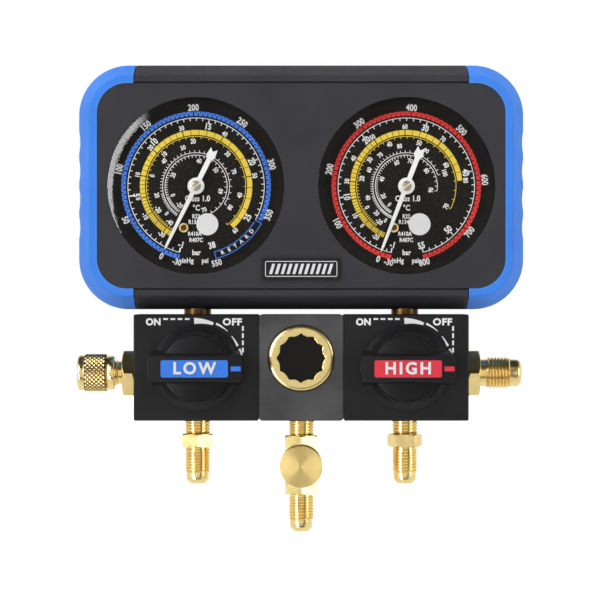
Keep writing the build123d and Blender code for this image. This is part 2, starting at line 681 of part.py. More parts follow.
def pinion():
    """Pointer arbor with the pinion cut on it."""
    outline = gear_outline(PINION_TEETH, 0, PINION_TEETH - 1, [])
    # A tooth space faces the sector, straight down.
    gear = Rot(0, 0, -90 + 180 / PINION_TEETH) * make_face(Polyline(outline, close=True).edges())
    wheel = facing(gear, TOOTH_OUT - TOOTH_W / 2, TOOTH_OUT + TOOTH_W / 2)
    arbor = disc(ARBOR_R, BACK_PLATE_OUT, POINTER_OUT + POINTER_T)
    return wheel + arbor


def sector(backswing, upswing):
    """Toothed sector on its own pin, drawn where it stands at zero pressure."""
    pitch = 360 / SECTOR_TEETH
    # Rising pressure turns the sector counter-clockwise, so the teeth still to come into mesh
    # lie clockwise of the pinion.
    behind = math.ceil(backswing / GEAR_RATIO / pitch) + SECTOR_SPARE_TEETH
    ahead = math.ceil(upswing / GEAR_RATIO / pitch) + SECTOR_SPARE_TEETH
    outline = gear_outline(SECTOR_TEETH, -ahead, behind, [Vector(0, 0)])
    rim_r = SECTOR_PITCH_R - TOOTH_DEDENDUM * GEAR_MODULE - SECTOR_RIM
    plate = make_face(Polyline(outline, close=True).edges()) - Circle(rim_r)
    for index in (1 - ahead, (behind - ahead) / 2, behind - 1):
        spoke = Pos(rim_r / 2, 0) * Rectangle(rim_r + SECTOR_RIM / 2, SPOKE_W)
        plate += Rot(0, 0, index * pitch) * spoke
    tail = Pos(-SECTOR_TAIL / 2, 0) * SlotCenterToCenter(SECTOR_TAIL, 2 * LINK_W)
    plate += tail + Circle(SECTOR_HUB_R)
    plate -= Pos(-SECTOR_TAIL, 0) * Circle(LINK_PIN_R)
    body = facing(Rot(0, 0, 90) * plate, TOOTH_OUT - TOOTH_W / 2, TOOTH_OUT + TOOTH_W / 2)
    pin = disc(SECTOR_PIN_R, BACK_PLATE_OUT, FRONT_PLATE_OUT + PLATE_T)
    return Pos(0, 0, -GEAR_CENTRES) * (body + pin)


def movement_frame():
    """Two plates and four pillars that carry the arbor and the sector's pin."""
    low_z = SOCKET_TOP_Z - FRAME_FOOT
    outline = RectangleRounded(FRAME_W, FRAME_TOP_Z - low_z, FRAME_CORNER)
    plate = Pos(0, (low_z + FRAME_TOP_Z) / 2) * outline
    plate -= Circle(ARBOR_R + RUN_FIT)
    plate -= Pos(0, -GEAR_CENTRES) * Circle(SECTOR_PIN_R + RUN_FIT)
    frame = facing(plate, BACK_PLATE_OUT, BACK_PLATE_OUT + PLATE_T)
    front = plate - Pos(ZERO_X, ZERO_Z) * Circle(ZERO_SHANK_R + RUN_FIT)
    frame += facing(front, FRONT_PLATE_OUT, FRONT_PLATE_OUT + PLATE_T)
    back = BACK_PLATE_OUT + PLATE_T / 2
    front = FRONT_PLATE_OUT + PLATE_T / 2
    top_z = FRAME_TOP_Z - PILLAR_TOP_DROP
    foot_z = SOCKET_TOP_Z + PILLAR_FOOT_RISE
    for side in (-1, 1):
        frame += disc(PILLAR_R, back, front, side * (FRAME_W / 2 - PILLAR_TOP_INSET), top_z)
        frame += disc(PILLAR_R, back, front, side * (FRAME_W / 2 - PILLAR_FOOT_INSET), foot_z)
    return frame


def pointer():
    """White pointer, drawn with its tip straight up."""
    half = Polyline(
        (0, POINTER_TIP), (POINTER_NECK_W, POINTER_TIP - POINTER_POINT_L), (POINTER_ROOT_W, 0),
        (POINTER_TAIL_NECK_W, POINTER_TAIL_L - POINTER_TAIL),
        (POINTER_TAIL_W, POINTER_TAIL_END_L - POINTER_TAIL),
        (POINTER_TAIL_END_W, -POINTER_TAIL), (0, POINTER_TAIL_NOTCH - POINTER_TAIL), close=True,
    )
    blade = make_face(half.edges())
    plate = blade + mirror(blade, Plane.YZ) + Circle(POINTER_HUB_R)
    needle = facing(plate, POINTER_OUT, POINTER_OUT + POINTER_T)
    cap_top = POINTER_OUT + POINTER_T + POINTER_CAP_H
    needle += disc(POINTER_CAP_R, POINTER_OUT + POINTER_T, cap_top)
    slot = Pos(0, -cap_top, 0) * Box(
        2 * POINTER_CAP_R, 2 * POINTER_SLOT_DEPTH, POINTER_SLOT_W
    )
    return needle - slot - disc(ARBOR_R + POINTER_FIT, POINTER_OUT, POINTER_OUT + POINTER_T)


def zero_screw():
    under = DIAL_OUT + ZERO_GAP
    top = under + ZERO_HEAD_T
    head = disc(ZERO_R, under, top)
    head -= Pos(0, -top, 0) * Box(2 * ZERO_R, ZERO_HEAD_T, ZERO_SLOT_W)
    screw = head + disc(ZERO_SHANK_R, FRONT_PLATE_OUT, under)
    return Pos(ZERO_X, 0, ZERO_Z) * screw


GAUGES = (
    ("low", -1, LOW_REST, LOW_BACKSWING, LOW_UPSWING),
    ("high", 1, HIGH_REST, HIGH_BACKSWING, HIGH_UPSWING),
)
for name, side, rest_angle, backswing, upswing in GAUGES:
    place = Pos(side * HALF_SPACING, 0, 0)
    pieces["gauge_case_" + name] = place * gauge_case()
    pieces["gauge_dial_" + name] = place * gauge_dial()
    pieces["gauge_lens_" + name] = place * gauge_lens()
    pieces["lens_plug_" + name] = place * lens_plug()
    pieces["gauge_socket_" + name] = place * gauge_socket()
    pieces["bourdon_tube_" + name] = place * bourdon_tube()
    pieces["movement_frame_" + name] = place * movement_frame()
    pieces["sector_gear_" + name] = place * sector(backswing, upswing)
    pieces["pinion_" + name] = place * pinion()
    pieces["pointer_" + name] = place * Rot(0, rest_angle, 0) * pointer()
    pieces["zero_screw_" + name] = place * zero_screw()
pieces["tube_links"] = both_sides(tube_link())


# ---- manifold blocks ----------------------------------------------------------------------
def bolt_places():
    return [(BOLT_OUT, VALVE_Z + dz) for dz in (-BOLT_DZ, BOLT_DZ)]


def plain_block(width, x, edge_r):
    block = Pos(x, 0, VALVE_Z) * Box(width, BLOCK_DEPTH, BLOCK_H)
    block = fillet(block.edges().filter_by(Axis.Y), edge_r)
    front_back = block.edges().filter_by(Axis.Y, reverse=True)
    return chamfer(front_back.group_by(Axis.Y)[0] + front_back.group_by(Axis.Y)[-1], BLOCK_BEVEL)


def valve_block(side):
    """Outer block: valve chamber with ports up, down, outward and inward."""
    valve_x = side * HALF_SPACING
    block = plain_block(SIDE_BLOCK_W, side * (MID_X + SIDE_BLOCK_W / 2), SIDE_EDGE_R)
    block -= disc(CHAMBER_R, CHAMBER_END_OUT, BLOCK_OUT + CUT_PAST, valve_x, VALVE_Z)
    block -= tall_bar(STEM_THREAD_R + SEAT_FIT, BLOCK_TOP - STEM_THREAD_L, BLOCK_TOP, valve_x)
    block -= tall_bar(PASSAGE_R, BLOCK_BOTTOM, BLOCK_TOP, valve_x)
    block -= tall_bar(SHANK_R + SEAT_FIT, BLOCK_BOTTOM, BLOCK_BOTTOM + SHANK_L, valve_x)
    ends = sorted((side * MID_X, side * SIDE_X))
    block -= cross_bar(PASSAGE_R, ends[0], ends[1], 0, PORT_Z)
    outer = sorted((side * SIDE_X, side * (SIDE_X - SHANK_L)))
    block -= cross_bar(SIDE_SHANK_R + SEAT_FIT, outer[0], outer[1], 0, PORT_Z)
    inner = sorted((side * MID_X, side * (MID_X + NIPPLE_REACH)))
    block -= cross_bar(NIPPLE_R + SEAT_FIT, inner[0], inner[1], 0, PORT_Z)
    seal = sorted((side * MID_X, side * (MID_X + 2 * SEAL_R)))
    block -= cross_bar(NIPPLE_R + 2 * SEAL_R + 2 * SEAT_FIT, seal[0], seal[1], 0, PORT_Z)
    for out, z in bolt_places():
        block -= cross_bar(BOLT_R + SEAT_FIT, ends[0], ends[1], out, z)
        if side < 0:
            head = (-SIDE_X, -SIDE_X + BOLT_SINK + BOLT_HEAD_L)
            block -= cross_bar(BOLT_HEAD_R + SEAT_FIT, head[0], head[1], out, z)
    return block


def sight_block():
    block = plain_block(MID_BLOCK_W, 0, MID_EDGE_R)
    block -= disc(RING_R + SEAT_FIT, WINDOW_OUT, BLOCK_OUT + CUT_PAST, 0, SIGHT_Z)
    mouth_r = RING_R + RING_MOUTH
    block -= disc(mouth_r, BLOCK_OUT - RING_MOUTH, BLOCK_OUT + CUT_PAST, 0, SIGHT_Z)
    block -= disc(WINDOW_R + SEAT_FIT, GASKET_OUT - GASKET_T, WINDOW_OUT, 0, SIGHT_Z)
    block -= disc(SIGHT_CHAMBER_R, SIGHT_CHAMBER_END_OUT, WINDOW_OUT, 0, SIGHT_Z)
    block -= cross_bar(PASSAGE_R, -MID_X, MID_X, 0, PORT_Z)
    for side in (-1, 1):
        ends = sorted((side * MID_X, side * (MID_X - NIPPLE_REACH)))
        block -= cross_bar(NIPPLE_R + SEAT_FIT, ends[0], ends[1], 0, PORT_Z)
    block -= tall_bar(PASSAGE_R, BLOCK_BOTTOM, SIGHT_Z)
    block -= tall_bar(SHANK_R + SEAT_FIT, BLOCK_BOTTOM, BLOCK_BOTTOM + SHANK_L)
    for out, z in bolt_places():
        block -= cross_bar(BOLT_R + SEAT_FIT, -MID_X, MID_X, out, z)
    return block


def block_nipples():
    group = []
    for side in (-1, 1):
        reach = NIPPLE_REACH - NIPPLE_END_GAP
        ends = (side * MID_X - reach, side * MID_X + reach)
        tube = cross_bar(NIPPLE_R, ends[0], ends[1], 0, PORT_Z)
        group.append(tube - cross_bar(PASSAGE_R, ends[0], ends[1], 0, PORT_Z))
    return group


def block_seals():
    ring = Rot(0, 90, 0) * Torus(NIPPLE_R + SEAL_R + SEAT_FIT, SEAL_R)
    return [Pos(side * (MID_X + SEAL_R), 0, PORT_Z) * ring for side in (-1, 1)]


def tie_bolts():
    group = []
    for out, z in bolt_places():
        head_x = -SIDE_X + BOLT_SINK
        bolt = cross_bar(BOLT_R, head_x, MID_X + BOLT_TAIL, out, z)
        bolt += cross_bar(BOLT_HEAD_R, head_x, head_x + BOLT_HEAD_L, out, z)
        key = Plane(origin=(head_x, -out, z), z_dir=(1, 0, 0)) * RegularPolygon(BOLT_KEY_R, 6)
        group.append(bolt - extrude(key, BOLT_KEY_DEPTH))
    return group


pieces["valve_block_low"] = valve_block(-1)
pieces["valve_block_high"] = valve_block(1)
pieces["sight_block"] = sight_block()
pieces["block_nipples"] = block_nipples()
pieces["block_seals"] = block_seals()
pieces["tie_bolts"] = tie_bolts()


# ---- sight glass --------------------------------------------------------------------------
def sight_ring():
    """Brass ring nut with a twelve-point socket."""
    ring = disc(RING_R, WINDOW_OUT, RING_OUT)
    ring = chamfer(ring.edges().group_by(Axis.Y)[0], RING_BEVEL)
    socket = RegularPolygon(SOCKET_POINT_R, 6, rotation=15)
    socket += RegularPolygon(SOCKET_POINT_R, 6, rotation=45)
    ring -= facing(socket, WINDOW_OUT, RING_OUT + CUT_PAST)
    return Pos(0, 0, SIGHT_Z) * ring


def sight_window():
    return disc(WINDOW_R, GASKET_OUT, WINDOW_OUT, 0, SIGHT_Z)


def sight_gasket():
    ring = disc(WINDOW_R, GASKET_OUT - GASKET_T, GASKET_OUT, 0, SIGHT_Z)
    return ring - disc(SIGHT_CHAMBER_R, GASKET_OUT - GASKET_T, GASKET_OUT, 0, SIGHT_Z)


pieces["sight_ring"] = sight_ring()
pieces["sight_window"] = sight_window()
pieces["sight_gasket"] = sight_gasket()


# ---- valves and knobs ---------------------------------------------------------------------
def knob():
    """Quarter-turn knob: flared skirt, recessed face and a tapered bar right across."""
    rim_top = KNOB_BASE_OUT + KNOB_RIM_T
    middle_r = (KNOB_BASE_R + KNOB_FACE_R) / 2 - SKIRT_HOLLOW_R
    middle_out = (rim_top + KNOB_FACE_OUT) / 2 - SKIRT_HOLLOW_OUT
    skirt_side = ThreePointArc(
        (KNOB_BASE_R, rim_top), (middle_r, middle_out), (KNOB_FACE_R, KNOB_FACE_OUT)
    )
    outline = Polyline(
        (KNOB_FACE_R, KNOB_FACE_OUT), (0, KNOB_FACE_OUT), (0, KNOB_BASE_OUT),
        (KNOB_BASE_R, KNOB_BASE_OUT), (KNOB_BASE_R, rim_top),
    )
    profile = make_face(outline.edges() + skirt_side.edges())
    body = Rot(90, 0, 0) * revolve(Plane.XZ * profile, Axis.Z)
    foot = Rectangle(2 * (KNOB_BASE_R + GRIP_PAST), GRIP_FOOT_W)
    rise = KNOB_GRIP_OUT - rim_top
    lean = math.degrees(math.atan((GRIP_FOOT_W - GRIP_TOP_W) / 2 / rise))
    bar = Plane.XZ * Pos(0, 0, rim_top) * extrude(foot, rise, taper=lean)
    bar &= disc(KNOB_BASE_R, rim_top, KNOB_GRIP_OUT)
    bar = fillet(bar.edges().group_by(Axis.Y)[0], GRIP_ROUND)
    body += bar
    cavity_top = KNOB_FACE_OUT - KNOB_WALL
    body -= disc(KNOB_FACE_R - KNOB_WALL, KNOB_BASE_OUT, cavity_top)
    body += disc(SPINDLE_R + KNOB_BOSS_WALL, KNOB_BASE_OUT + GLAND_PROUD, cavity_top)
    body -= disc(SPINDLE_R + SEAT_FIT, KNOB_BASE_OUT, cavity_top)
    square = SPINDLE_SQUARE + 2 * RUN_FIT
    body -= facing(Rectangle(square, square), cavity_top, SPINDLE_END_OUT)
    recess = RectangleRounded(INSERT_L, INSERT_W, INSERT_CORNER)
    body -= facing(recess, KNOB_GRIP_OUT - INSERT_T, KNOB_GRIP_OUT)
    mark = Pos(MARK_FROM + MARK_L / 2, 0) * Rectangle(MARK_L, MARK_W)
    return body - facing(mark, KNOB_GRIP_OUT - INSERT_T, KNOB_GRIP_OUT)


def knob_insert():
    """Coloured name plate and indicator mark, inlaid in the knob's bar."""
    play = 2 * INSERT_FIT
    plate = RectangleRounded(INSERT_L - play, INSERT_W - play, INSERT_CORNER - INSERT_FIT)
    mark = Pos(MARK_FROM + MARK_L / 2, 0) * Rectangle(MARK_L - play, MARK_W - play)
    low, high = KNOB_GRIP_OUT - INSERT_T, KNOB_GRIP_OUT
    return [facing(plate, low, high), facing(mark, low, high) & disc(KNOB_BASE_R, low, high)]


def valve_spindle():
    """Spindle with the ball that opens and shuts the cross passage."""
    spindle = Sphere(BALL_R) + disc(SPINDLE_R, BALL_R / 2, KNOB_FACE_OUT - KNOB_WALL)
    square = Rectangle(SPINDLE_SQUARE, SPINDLE_SQUARE)
    spindle += facing(square, KNOB_FACE_OUT - KNOB_WALL, SPINDLE_END_OUT)
    return spindle - tall_bar(PASSAGE_R, -BALL_R, BALL_R)


def gland_nut():
    """Packing nut that holds the spindle in the block."""
    nut = facing(RegularPolygon(GLAND_R, 6), BLOCK_OUT, BLOCK_OUT + GLAND_PROUD)
    nut += disc(CHAMBER_R - SEAT_FIT, BLOCK_OUT - GLAND_DEPTH, BLOCK_OUT)
    return nut - disc(SPINDLE_R + RUN_FIT, BLOCK_OUT - GLAND_DEPTH, BLOCK_OUT + GLAND_PROUD)


for name, side in (("low", -1), ("high", 1)):
    place = Pos(side * HALF_SPACING, 0, VALVE_Z)
    pieces["knob_" + name] = place * knob()
    pieces["knob_insert_" + name] = [place * solid for solid in knob_insert()]
    pieces["valve_spindle_" + name] = place * valve_spindle()
    pieces["gland_nut_" + name] = place * gland_nut()


# ---- threaded fittings --------------------------------------------------------------------
def flare_end(top, thread_l, relief_l, nose_l):
    """Flare port downward from z = top: relief, thread, nose and 45 degree seat."""
    thread_top = top - relief_l
    thread_end = thread_top - thread_l
    tip = thread_end - nose_l
    seat = FLARE_NOSE_R - FLARE_TIP_R
    return turned([
        (0, top), (FLARE_NOSE_R, top), (FLARE_NOSE_R, thread_top), (FLARE_R, thread_top),
        (FLARE_R, thread_end), (FLARE_NOSE_R, thread_end), (FLARE_NOSE_R, tip + seat),
        (FLARE_TIP_R, tip), (0, tip),
    ])


def bored(solid, radius, z_low, z_high):
    return solid - tall_bar(radius, z_low, z_high)


def hose_fitting(vertex_first):
    fitting = tall_bar(SHANK_R, 0, SHANK_L) + tall_bar(FLARE_R, -HOSE_NECK, 0)
    fitting += Pos(0, 0, -HOSE_NECK) * hex_bar(HOSE_HEX_AF, HOSE_HEX_L, vertex_first)
    top = -HOSE_NECK - HOSE_HEX_L
    fitting += flare_end(top, HOSE_THREAD_L, HOSE_RELIEF_L, HOSE_NOSE_L)
    end = top - HOSE_THREAD_L - HOSE_RELIEF_L - HOSE_NOSE_L
    return bored(fitting, FLARE_BORE_R, end, SHANK_L)


def service_tee():
    """Centre hose fitting with a capped service port on its front."""
    fitting = tall_bar(SHANK_R, 0, SHANK_L) + tall_bar(FLARE_R, -TEE_NECK, 0)
    fitting += Pos(0, 0, -TEE_NECK) * hex_bar(TEE_HEX_AF, TEE_HEX_L)
    top = -TEE_NECK - TEE_HEX_L
    fitting += flare_end(top, TEE_THREAD_L, TEE_RELIEF_L, TEE_NOSE_L)
    port_z = -TEE_NECK - TEE_PORT_DROP
    port = disc(FLARE_R + TEE_COLLAR_WALL, 0, TEE_COLLAR_OUT)
    port += disc(FLARE_R, 0, TEE_PORT_OUT - TEE_TIP_L)
    cone = Cone(FLARE_NOSE_R, FLARE_TIP_R + TEE_TIP_FLAT, TEE_TIP_L)
    tip = Plane.XZ * Pos(0, 0, TEE_PORT_OUT - TEE_TIP_L / 2) * cone
    fitting += Pos(0, 0, port_z) * (port + tip)
    end = top - TEE_THREAD_L - TEE_NOSE_L
    fitting = bored(fitting, FLARE_BORE_R, end - CUT_PAST, SHANK_L)
    return fitting - Pos(0, 0, port_z) * disc(CORE_R + SEAT_FIT, 0, TEE_PORT_OUT + CUT_PAST)


def left_fitting():
    fitting = tall_bar(SIDE_SHANK_R, 0, SHANK_L) + hex_bar(SIDE_HEX_AF, SIDE_HEX_L)
    fitting += flare_end(-SIDE_HEX_L, LEFT_THREAD_L, SIDE_RELIEF_L, LEFT_NOSE_L)
    return bored(fitting, CORE_R + SEAT_FIT, -LEFT_TIP, SHANK_L)


def right_fitting():
    """Larger outlet with a rounded nose."""
    neck_end = -SIDE_HEX_L - RIGHT_NECK_L
    thread_end = neck_end - RIGHT_THREAD_L
    tip = thread_end - RIGHT_NOSE_L
    body = turned([
        (0, -SIDE_HEX_L), (RIGHT_NECK_R, -SIDE_HEX_L), (RIGHT_NECK_R, neck_end),
        (RIGHT_THREAD_R, neck_end), (RIGHT_THREAD_R, thread_end), (RIGHT_NOSE_R, thread_end),
        (RIGHT_NOSE_R, tip + RIGHT_ROUND_L), (RIGHT_NOSE_R - RIGHT_STEP_R, tip + RIGHT_STEP_L),
        (RIGHT_NOSE_R - RIGHT_ROUND_R, tip), (0, tip),
    ])
    fitting = tall_bar(SIDE_SHANK_R, 0, SHANK_L) + hex_bar(SIDE_HEX_AF, SIDE_HEX_L) + body
    return bored(fitting, FLARE_BORE_R, tip, SHANK_L)


def side_cap():
    """Knurled cap of the left port, from its mouth down to its closed end."""
    rim_end = -CAP_RIM_L
    knurl_end = rim_end - CAP_KNURL_L
    end = knurl_end - CAP_END_L
    body = turned([
        (0, 0), (CAP_RIM_R, 0), (CAP_RIM_R, rim_end), (CAP_KNURL_R, rim_end - CAP_KNURL_BEVEL),
        (CAP_KNURL_R, knurl_end + CAP_KNURL_BEVEL), (CAP_END_R, knurl_end),
        (CAP_END_R, end + CAP_ROUND_L), (CAP_END_R - CAP_STEP_R, end + CAP_STEP_L),
        (CAP_END_R - CAP_ROUND_R, end), (0, end),
    ])
    return bored(body, FLARE_R + SEAT_FIT, CAP_START - LEFT_TIP - CAP_SEAL_T, 0)


def side_cap_seal():
    seat = CAP_START - LEFT_TIP
    ring = tall_bar(FLARE_R, seat - CAP_SEAL_T, seat)
    return ring - tall_bar(CORE_R, seat - CAP_SEAL_T, seat)


def service_cap():
    """Round turned cap on the front port."""
    cap = disc(FRONT_CAP_R, FRONT_CAP_MOUTH_OUT, FRONT_CAP_FACE_OUT)
    cap = chamfer(cap.edges().group_by(Axis.Y)[0], FRONT_CAP_BEVEL)
    bore = disc(FLARE_R + SEAT_FIT, FRONT_CAP_MOUTH_OUT, TEE_PORT_OUT + CAP_SEAL_T)
    return Pos(0, 0, SERVICE_Z) * (cap - bore)


def service_cap_seal():
    ring = disc(FLARE_R, TEE_PORT_OUT, TEE_PORT_OUT + CAP_SEAL_T)
    ring -= disc(CORE_R, TEE_PORT_OUT, TEE_PORT_OUT + CAP_SEAL_T)
    return Pos(0, 0, SERVICE_Z) * ring


def port_core():
    """Valve core screwed into a port, downward from the port's tip at z = 0."""
    return bored(tall_bar(CORE_R, CORE_SEAT, -CORE_DEPTH), CORE_PIN_R + RUN_FIT, CORE_SEAT, 0)


def core_pin():
    """Pin that opens a valve core when it is pressed, with the seal disc on its inner end."""
    end = CORE_SEAT - CORE_SEAL_T
    pin = tall_bar(CORE_PIN_R, end, -CORE_PIN_INSET)
    return pin + tall_bar(CORE_R - CORE_STEP, end, CORE_SEAT)


pieces["hose_fitting_low"] = at_port(hose_fitting(True), -HALF_SPACING, BLOCK_BOTTOM)
pieces["hose_fitting_high"] = at_port(hose_fitting(False), HALF_SPACING, BLOCK_BOTTOM)
pieces["service_tee"] = at_port(service_tee(), 0, BLOCK_BOTTOM)
pieces["side_fitting_left"] = to_side(left_fitting(), -1, PORT_Z)
pieces["side_fitting_right"] = to_side(right_fitting(), 1, PORT_Z)
pieces["side_cap"] = to_side(Pos(0, 0, -CAP_START) * side_cap(), -1, PORT_Z)
pieces["side_cap_seal"] = to_side(Pos(0, 0, -CAP_START) * side_cap_seal(), -1, PORT_Z)
pieces["service_cap"] = service_cap()
pieces["service_cap_seal"] = service_cap_seal()


def in_side_port(solid):
    return to_side(Pos(0, 0, -LEFT_TIP) * Rot(180, 0, 0) * solid, -1, PORT_Z)


def in_service_port(solid):
    return Pos(0, -TEE_PORT_OUT, SERVICE_Z) * Rot(90, 0, 0) * solid


pieces["port_cores"] = [in_side_port(port_core()), in_service_port(port_core())]
pieces["core_pin_side"] = in_side_port(core_pin())
pieces["core_pin_service"] = in_service_port(core_pin())


# ---- hanging hook -------------------------------------------------------------------------
def hook_bracket():
    plate = Pos(0, HOUSING_BACK_Y + BRACKET_T / 2, HOOK_PIN_Z) * Box(BRACKET_W, BRACKET_T, BRACKET_H)
    plate = fillet(plate.edges().filter_by(Axis.Y), BRACKET_CORNER)
    for side in (-1, 1):
        middle = side * (EAR_GAP + EAR_T) / 2
        low, high = middle - EAR_T / 2, middle + EAR_T / 2
        ear = cross_bar(EAR_R, low, high, -HOOK_PIN_Y, HOOK_PIN_Z)
        root = HOOK_PIN_Y - HOUSING_BACK_Y - BRACKET_T / 2
        ear += Pos(middle, HOOK_PIN_Y - root / 2, HOOK_PIN_Z) * Box(EAR_T, root, 2 * EAR_R)
        plate += ear - cross_bar(HOOK_ROD_R + RUN_FIT, low, high, -HOOK_PIN_Y, HOOK_PIN_Z)
        x = side * BRACKET_SCREW_X
        plate -= disc(BRACKET_SCREW_R, BACK_OUT - BRACKET_T, BACK_OUT, x, HOOK_PIN_Z)
    relief_r = HOOK_ROD_R + HOOK_RELIEF
    relief = cross_bar(relief_r, -EAR_GAP / 2, EAR_GAP / 2, -HOOK_PIN_Y, HOOK_PIN_Z)
    return plate - relief


def hook():
    """Bent rod with a cross pin, folded down behind the housing."""
    start = (0, 0, 0)
    bend_start = (0, 0, -HOOK_SHANK_L)
    bend_middle = (HOOK_BEND_R, 0, -HOOK_SHANK_L - HOOK_BEND_R)
    bend_end = (2 * HOOK_BEND_R, 0, -HOOK_SHANK_L)
    tip = (2 * HOOK_BEND_R, 0, HOOK_TIP_L - HOOK_SHANK_L)
    path = Wire(
        Line(start, bend_start).edges()
        + ThreePointArc(bend_start, bend_middle, bend_end).edges()
        + Line(bend_end, tip).edges()
    )
    rod = sweep(Plane(origin=start, z_dir=(0, 0, -1)) * Circle(HOOK_ROD_R), path)
    rod += Pos(*tip) * Sphere(HOOK_ROD_R)
    rod += cross_bar(HOOK_ROD_R, -HOOK_PIN_L / 2, HOOK_PIN_L / 2)
    return Pos(0, HOOK_PIN_Y, HOOK_PIN_Z) * rod


pieces["hook_bracket"] = hook_bracket()
pieces["hanging_hook"] = hook()


# ---- export -------------------------------------------------------------------------------
os.makedirs("parts", exist_ok=True)
to_origin = Pos(0, -HOOK_PIN_Y, -HOOK_PIN_Z)
for node, shape in pieces.items():
    if isinstance(shape, list):
        shape = Compound([solid for piece in shape for solid in piece.solids()])
    export_step(to_origin * shape, "parts/" + node + ".step")
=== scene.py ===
"""A refrigerant manifold gauge: two dial gauges in a black housing over a valve manifold with brass ports."""
import math

import bmesh
import bpy
from mathutils import Matrix, Vector


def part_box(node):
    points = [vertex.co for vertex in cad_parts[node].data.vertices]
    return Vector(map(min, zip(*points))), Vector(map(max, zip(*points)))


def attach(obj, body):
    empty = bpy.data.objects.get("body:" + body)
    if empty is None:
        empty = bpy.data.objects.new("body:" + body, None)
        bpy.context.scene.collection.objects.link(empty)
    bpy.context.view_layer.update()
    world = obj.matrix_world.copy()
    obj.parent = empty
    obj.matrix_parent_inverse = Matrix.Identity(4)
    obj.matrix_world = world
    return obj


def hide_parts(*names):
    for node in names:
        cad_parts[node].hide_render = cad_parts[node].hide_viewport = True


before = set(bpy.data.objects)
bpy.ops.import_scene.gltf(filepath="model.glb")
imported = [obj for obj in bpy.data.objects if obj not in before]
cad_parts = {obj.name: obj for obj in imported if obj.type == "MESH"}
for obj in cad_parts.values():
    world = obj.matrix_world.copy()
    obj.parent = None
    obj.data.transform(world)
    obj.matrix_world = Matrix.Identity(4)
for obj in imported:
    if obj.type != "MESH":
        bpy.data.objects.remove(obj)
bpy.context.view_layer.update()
bpy.ops.object.select_all(action="DESELECT")

# Lengths are written in millimetres and multiplied by MM; the scene is in metres.
MM = 0.001

# Places that pieces share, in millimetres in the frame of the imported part
HUB_X = 44.5
HUB_Z = -34.0
DIAL_FACE_Y = -37.4
KNOB_Z = -110.85
BLOCK_FACE_Y = -38.2
BLOCK_FOOT_Z = -133.4
BLOCK_SIDE_X = 71.0
PIPE_Y = -22.2
SIDE_PORT_Z = -113.55
SERVICE_Z = -152.5
SIDES = {"low": -1, "high": 1}


# ---------------------------------------------------------------- shader nodes

COLOUR, FLOAT = "NodeSocketColor", "NodeSocketFloat"


def feed(tree, socket, value):
    """Sets a socket to a number or a colour, or links it to the output of another node."""
    if isinstance(value, bpy.types.NodeSocket):
        tree.links.new(value, socket)
    else:
        socket.default_value = value


def add(tree, kind, **inputs):
    """A new node with its inputs fed by name; an underscore stands for a space."""
    node = tree.nodes.new(kind)
    for label, value in inputs.items():
        feed(tree, node.inputs[label.replace("_", " ")], value)
    return node


def object_place(tree):
    return tree.nodes.new("ShaderNodeTexCoord").outputs["Object"]


def noise(tree, place, scale, detail, roughness=0.5):
    texture = add(tree, "ShaderNodeTexNoise", Vector=place, Scale=scale, Detail=detail, Roughness=roughness)
    return texture.outputs["Fac"]


def ramp(tree, value, low, high, to_low=0.0, to_high=1.0):
    """Spreads the range from low to high over another one and holds the value at its ends."""
    spread = add(
        tree, "ShaderNodeMapRange", Value=value, From_Min=low, From_Max=high, To_Min=to_low, To_Max=to_high,
    )
    return spread.outputs["Result"]


def calculate(tree, kind, operation, first, second):
    node = tree.nodes.new(kind)
    node.operation = operation
    feed(tree, node.inputs[0], first)
    feed(tree, node.inputs[1], second)
    return node


def arithmetic(tree, operation, first, second=0.0, clamped=False):
    node = calculate(tree, "ShaderNodeMath", operation, first, second)
    node.use_clamp = clamped
    return node.outputs["Value"]


def product(tree, *values):
    result = values[0]
    for value in values[1:]:
        result = arithmetic(tree, "MULTIPLY", result, value)
    return result


def agreement(tree, first, second):
    """The cosine of the angle between two directions."""
    return calculate(tree, "ShaderNodeVectorMath", "DOT_PRODUCT", first, second).outputs["Value"]


def distance(tree, across, up):
    """The distance from an axis, from the two offsets to it."""
    squares = [arithmetic(tree, "POWER", offset, 2.0) for offset in (across, up)]
    return arithmetic(tree, "SQRT", arithmetic(tree, "ADD", *squares))


def blend(tree, share, first, second):
    """A colour between two others."""
    mix = tree.nodes.new("ShaderNodeMix")
    mix.data_type = "RGBA"
    for label, value in (("Factor", share), ("A", first), ("B", second)):
        feed(tree, mix.inputs[label], value)
    return mix.outputs["Result"]


def any_ray(tree, *kinds):
    """1 for rays of the named kinds and 0 for all others."""
    ray = tree.nodes.new("ShaderNodeLightPath")
    found = ray.outputs[f"Is {kinds[0]} Ray"]
    for kind in kinds[1:]:
        found = arithmetic(tree, "MAXIMUM", found, ray.outputs[f"Is {kind} Ray"])
    return found


def show_either(tree, share, first, second, output):
    """Sends one shader, or another where the share is 1, to the material's or world's output."""
    mix = add(tree, "ShaderNodeMixShader", Fac=share)
    tree.links.new(first, mix.inputs[1])
    tree.links.new(second, mix.inputs[2])
    tree.links.new(mix.outputs["Shader"], tree.nodes[output].inputs["Surface"])


def bump(tree, shader, height, strength, depth):
    relief = add(tree, "ShaderNodeBump", Height=height, Strength=strength, Distance=depth)
    tree.links.new(relief.outputs["Normal"], shader.inputs["Normal"])


def placed(tree, group, **values):
    """One of the effects below, placed in a material with the material's own values."""
    node = tree.nodes.new("ShaderNodeGroup")
    node.node_tree = group
    for label, value in values.items():
        node.inputs[label.replace("_", " ")].default_value = value
    return node.outputs


def new_material(name):
    material = bpy.data.materials.new(name)
    material.use_nodes = True
    return material, material.node_tree, material.node_tree.nodes["Principled BSDF"]


# ---------------------------------------------------------------- effects that several materials share

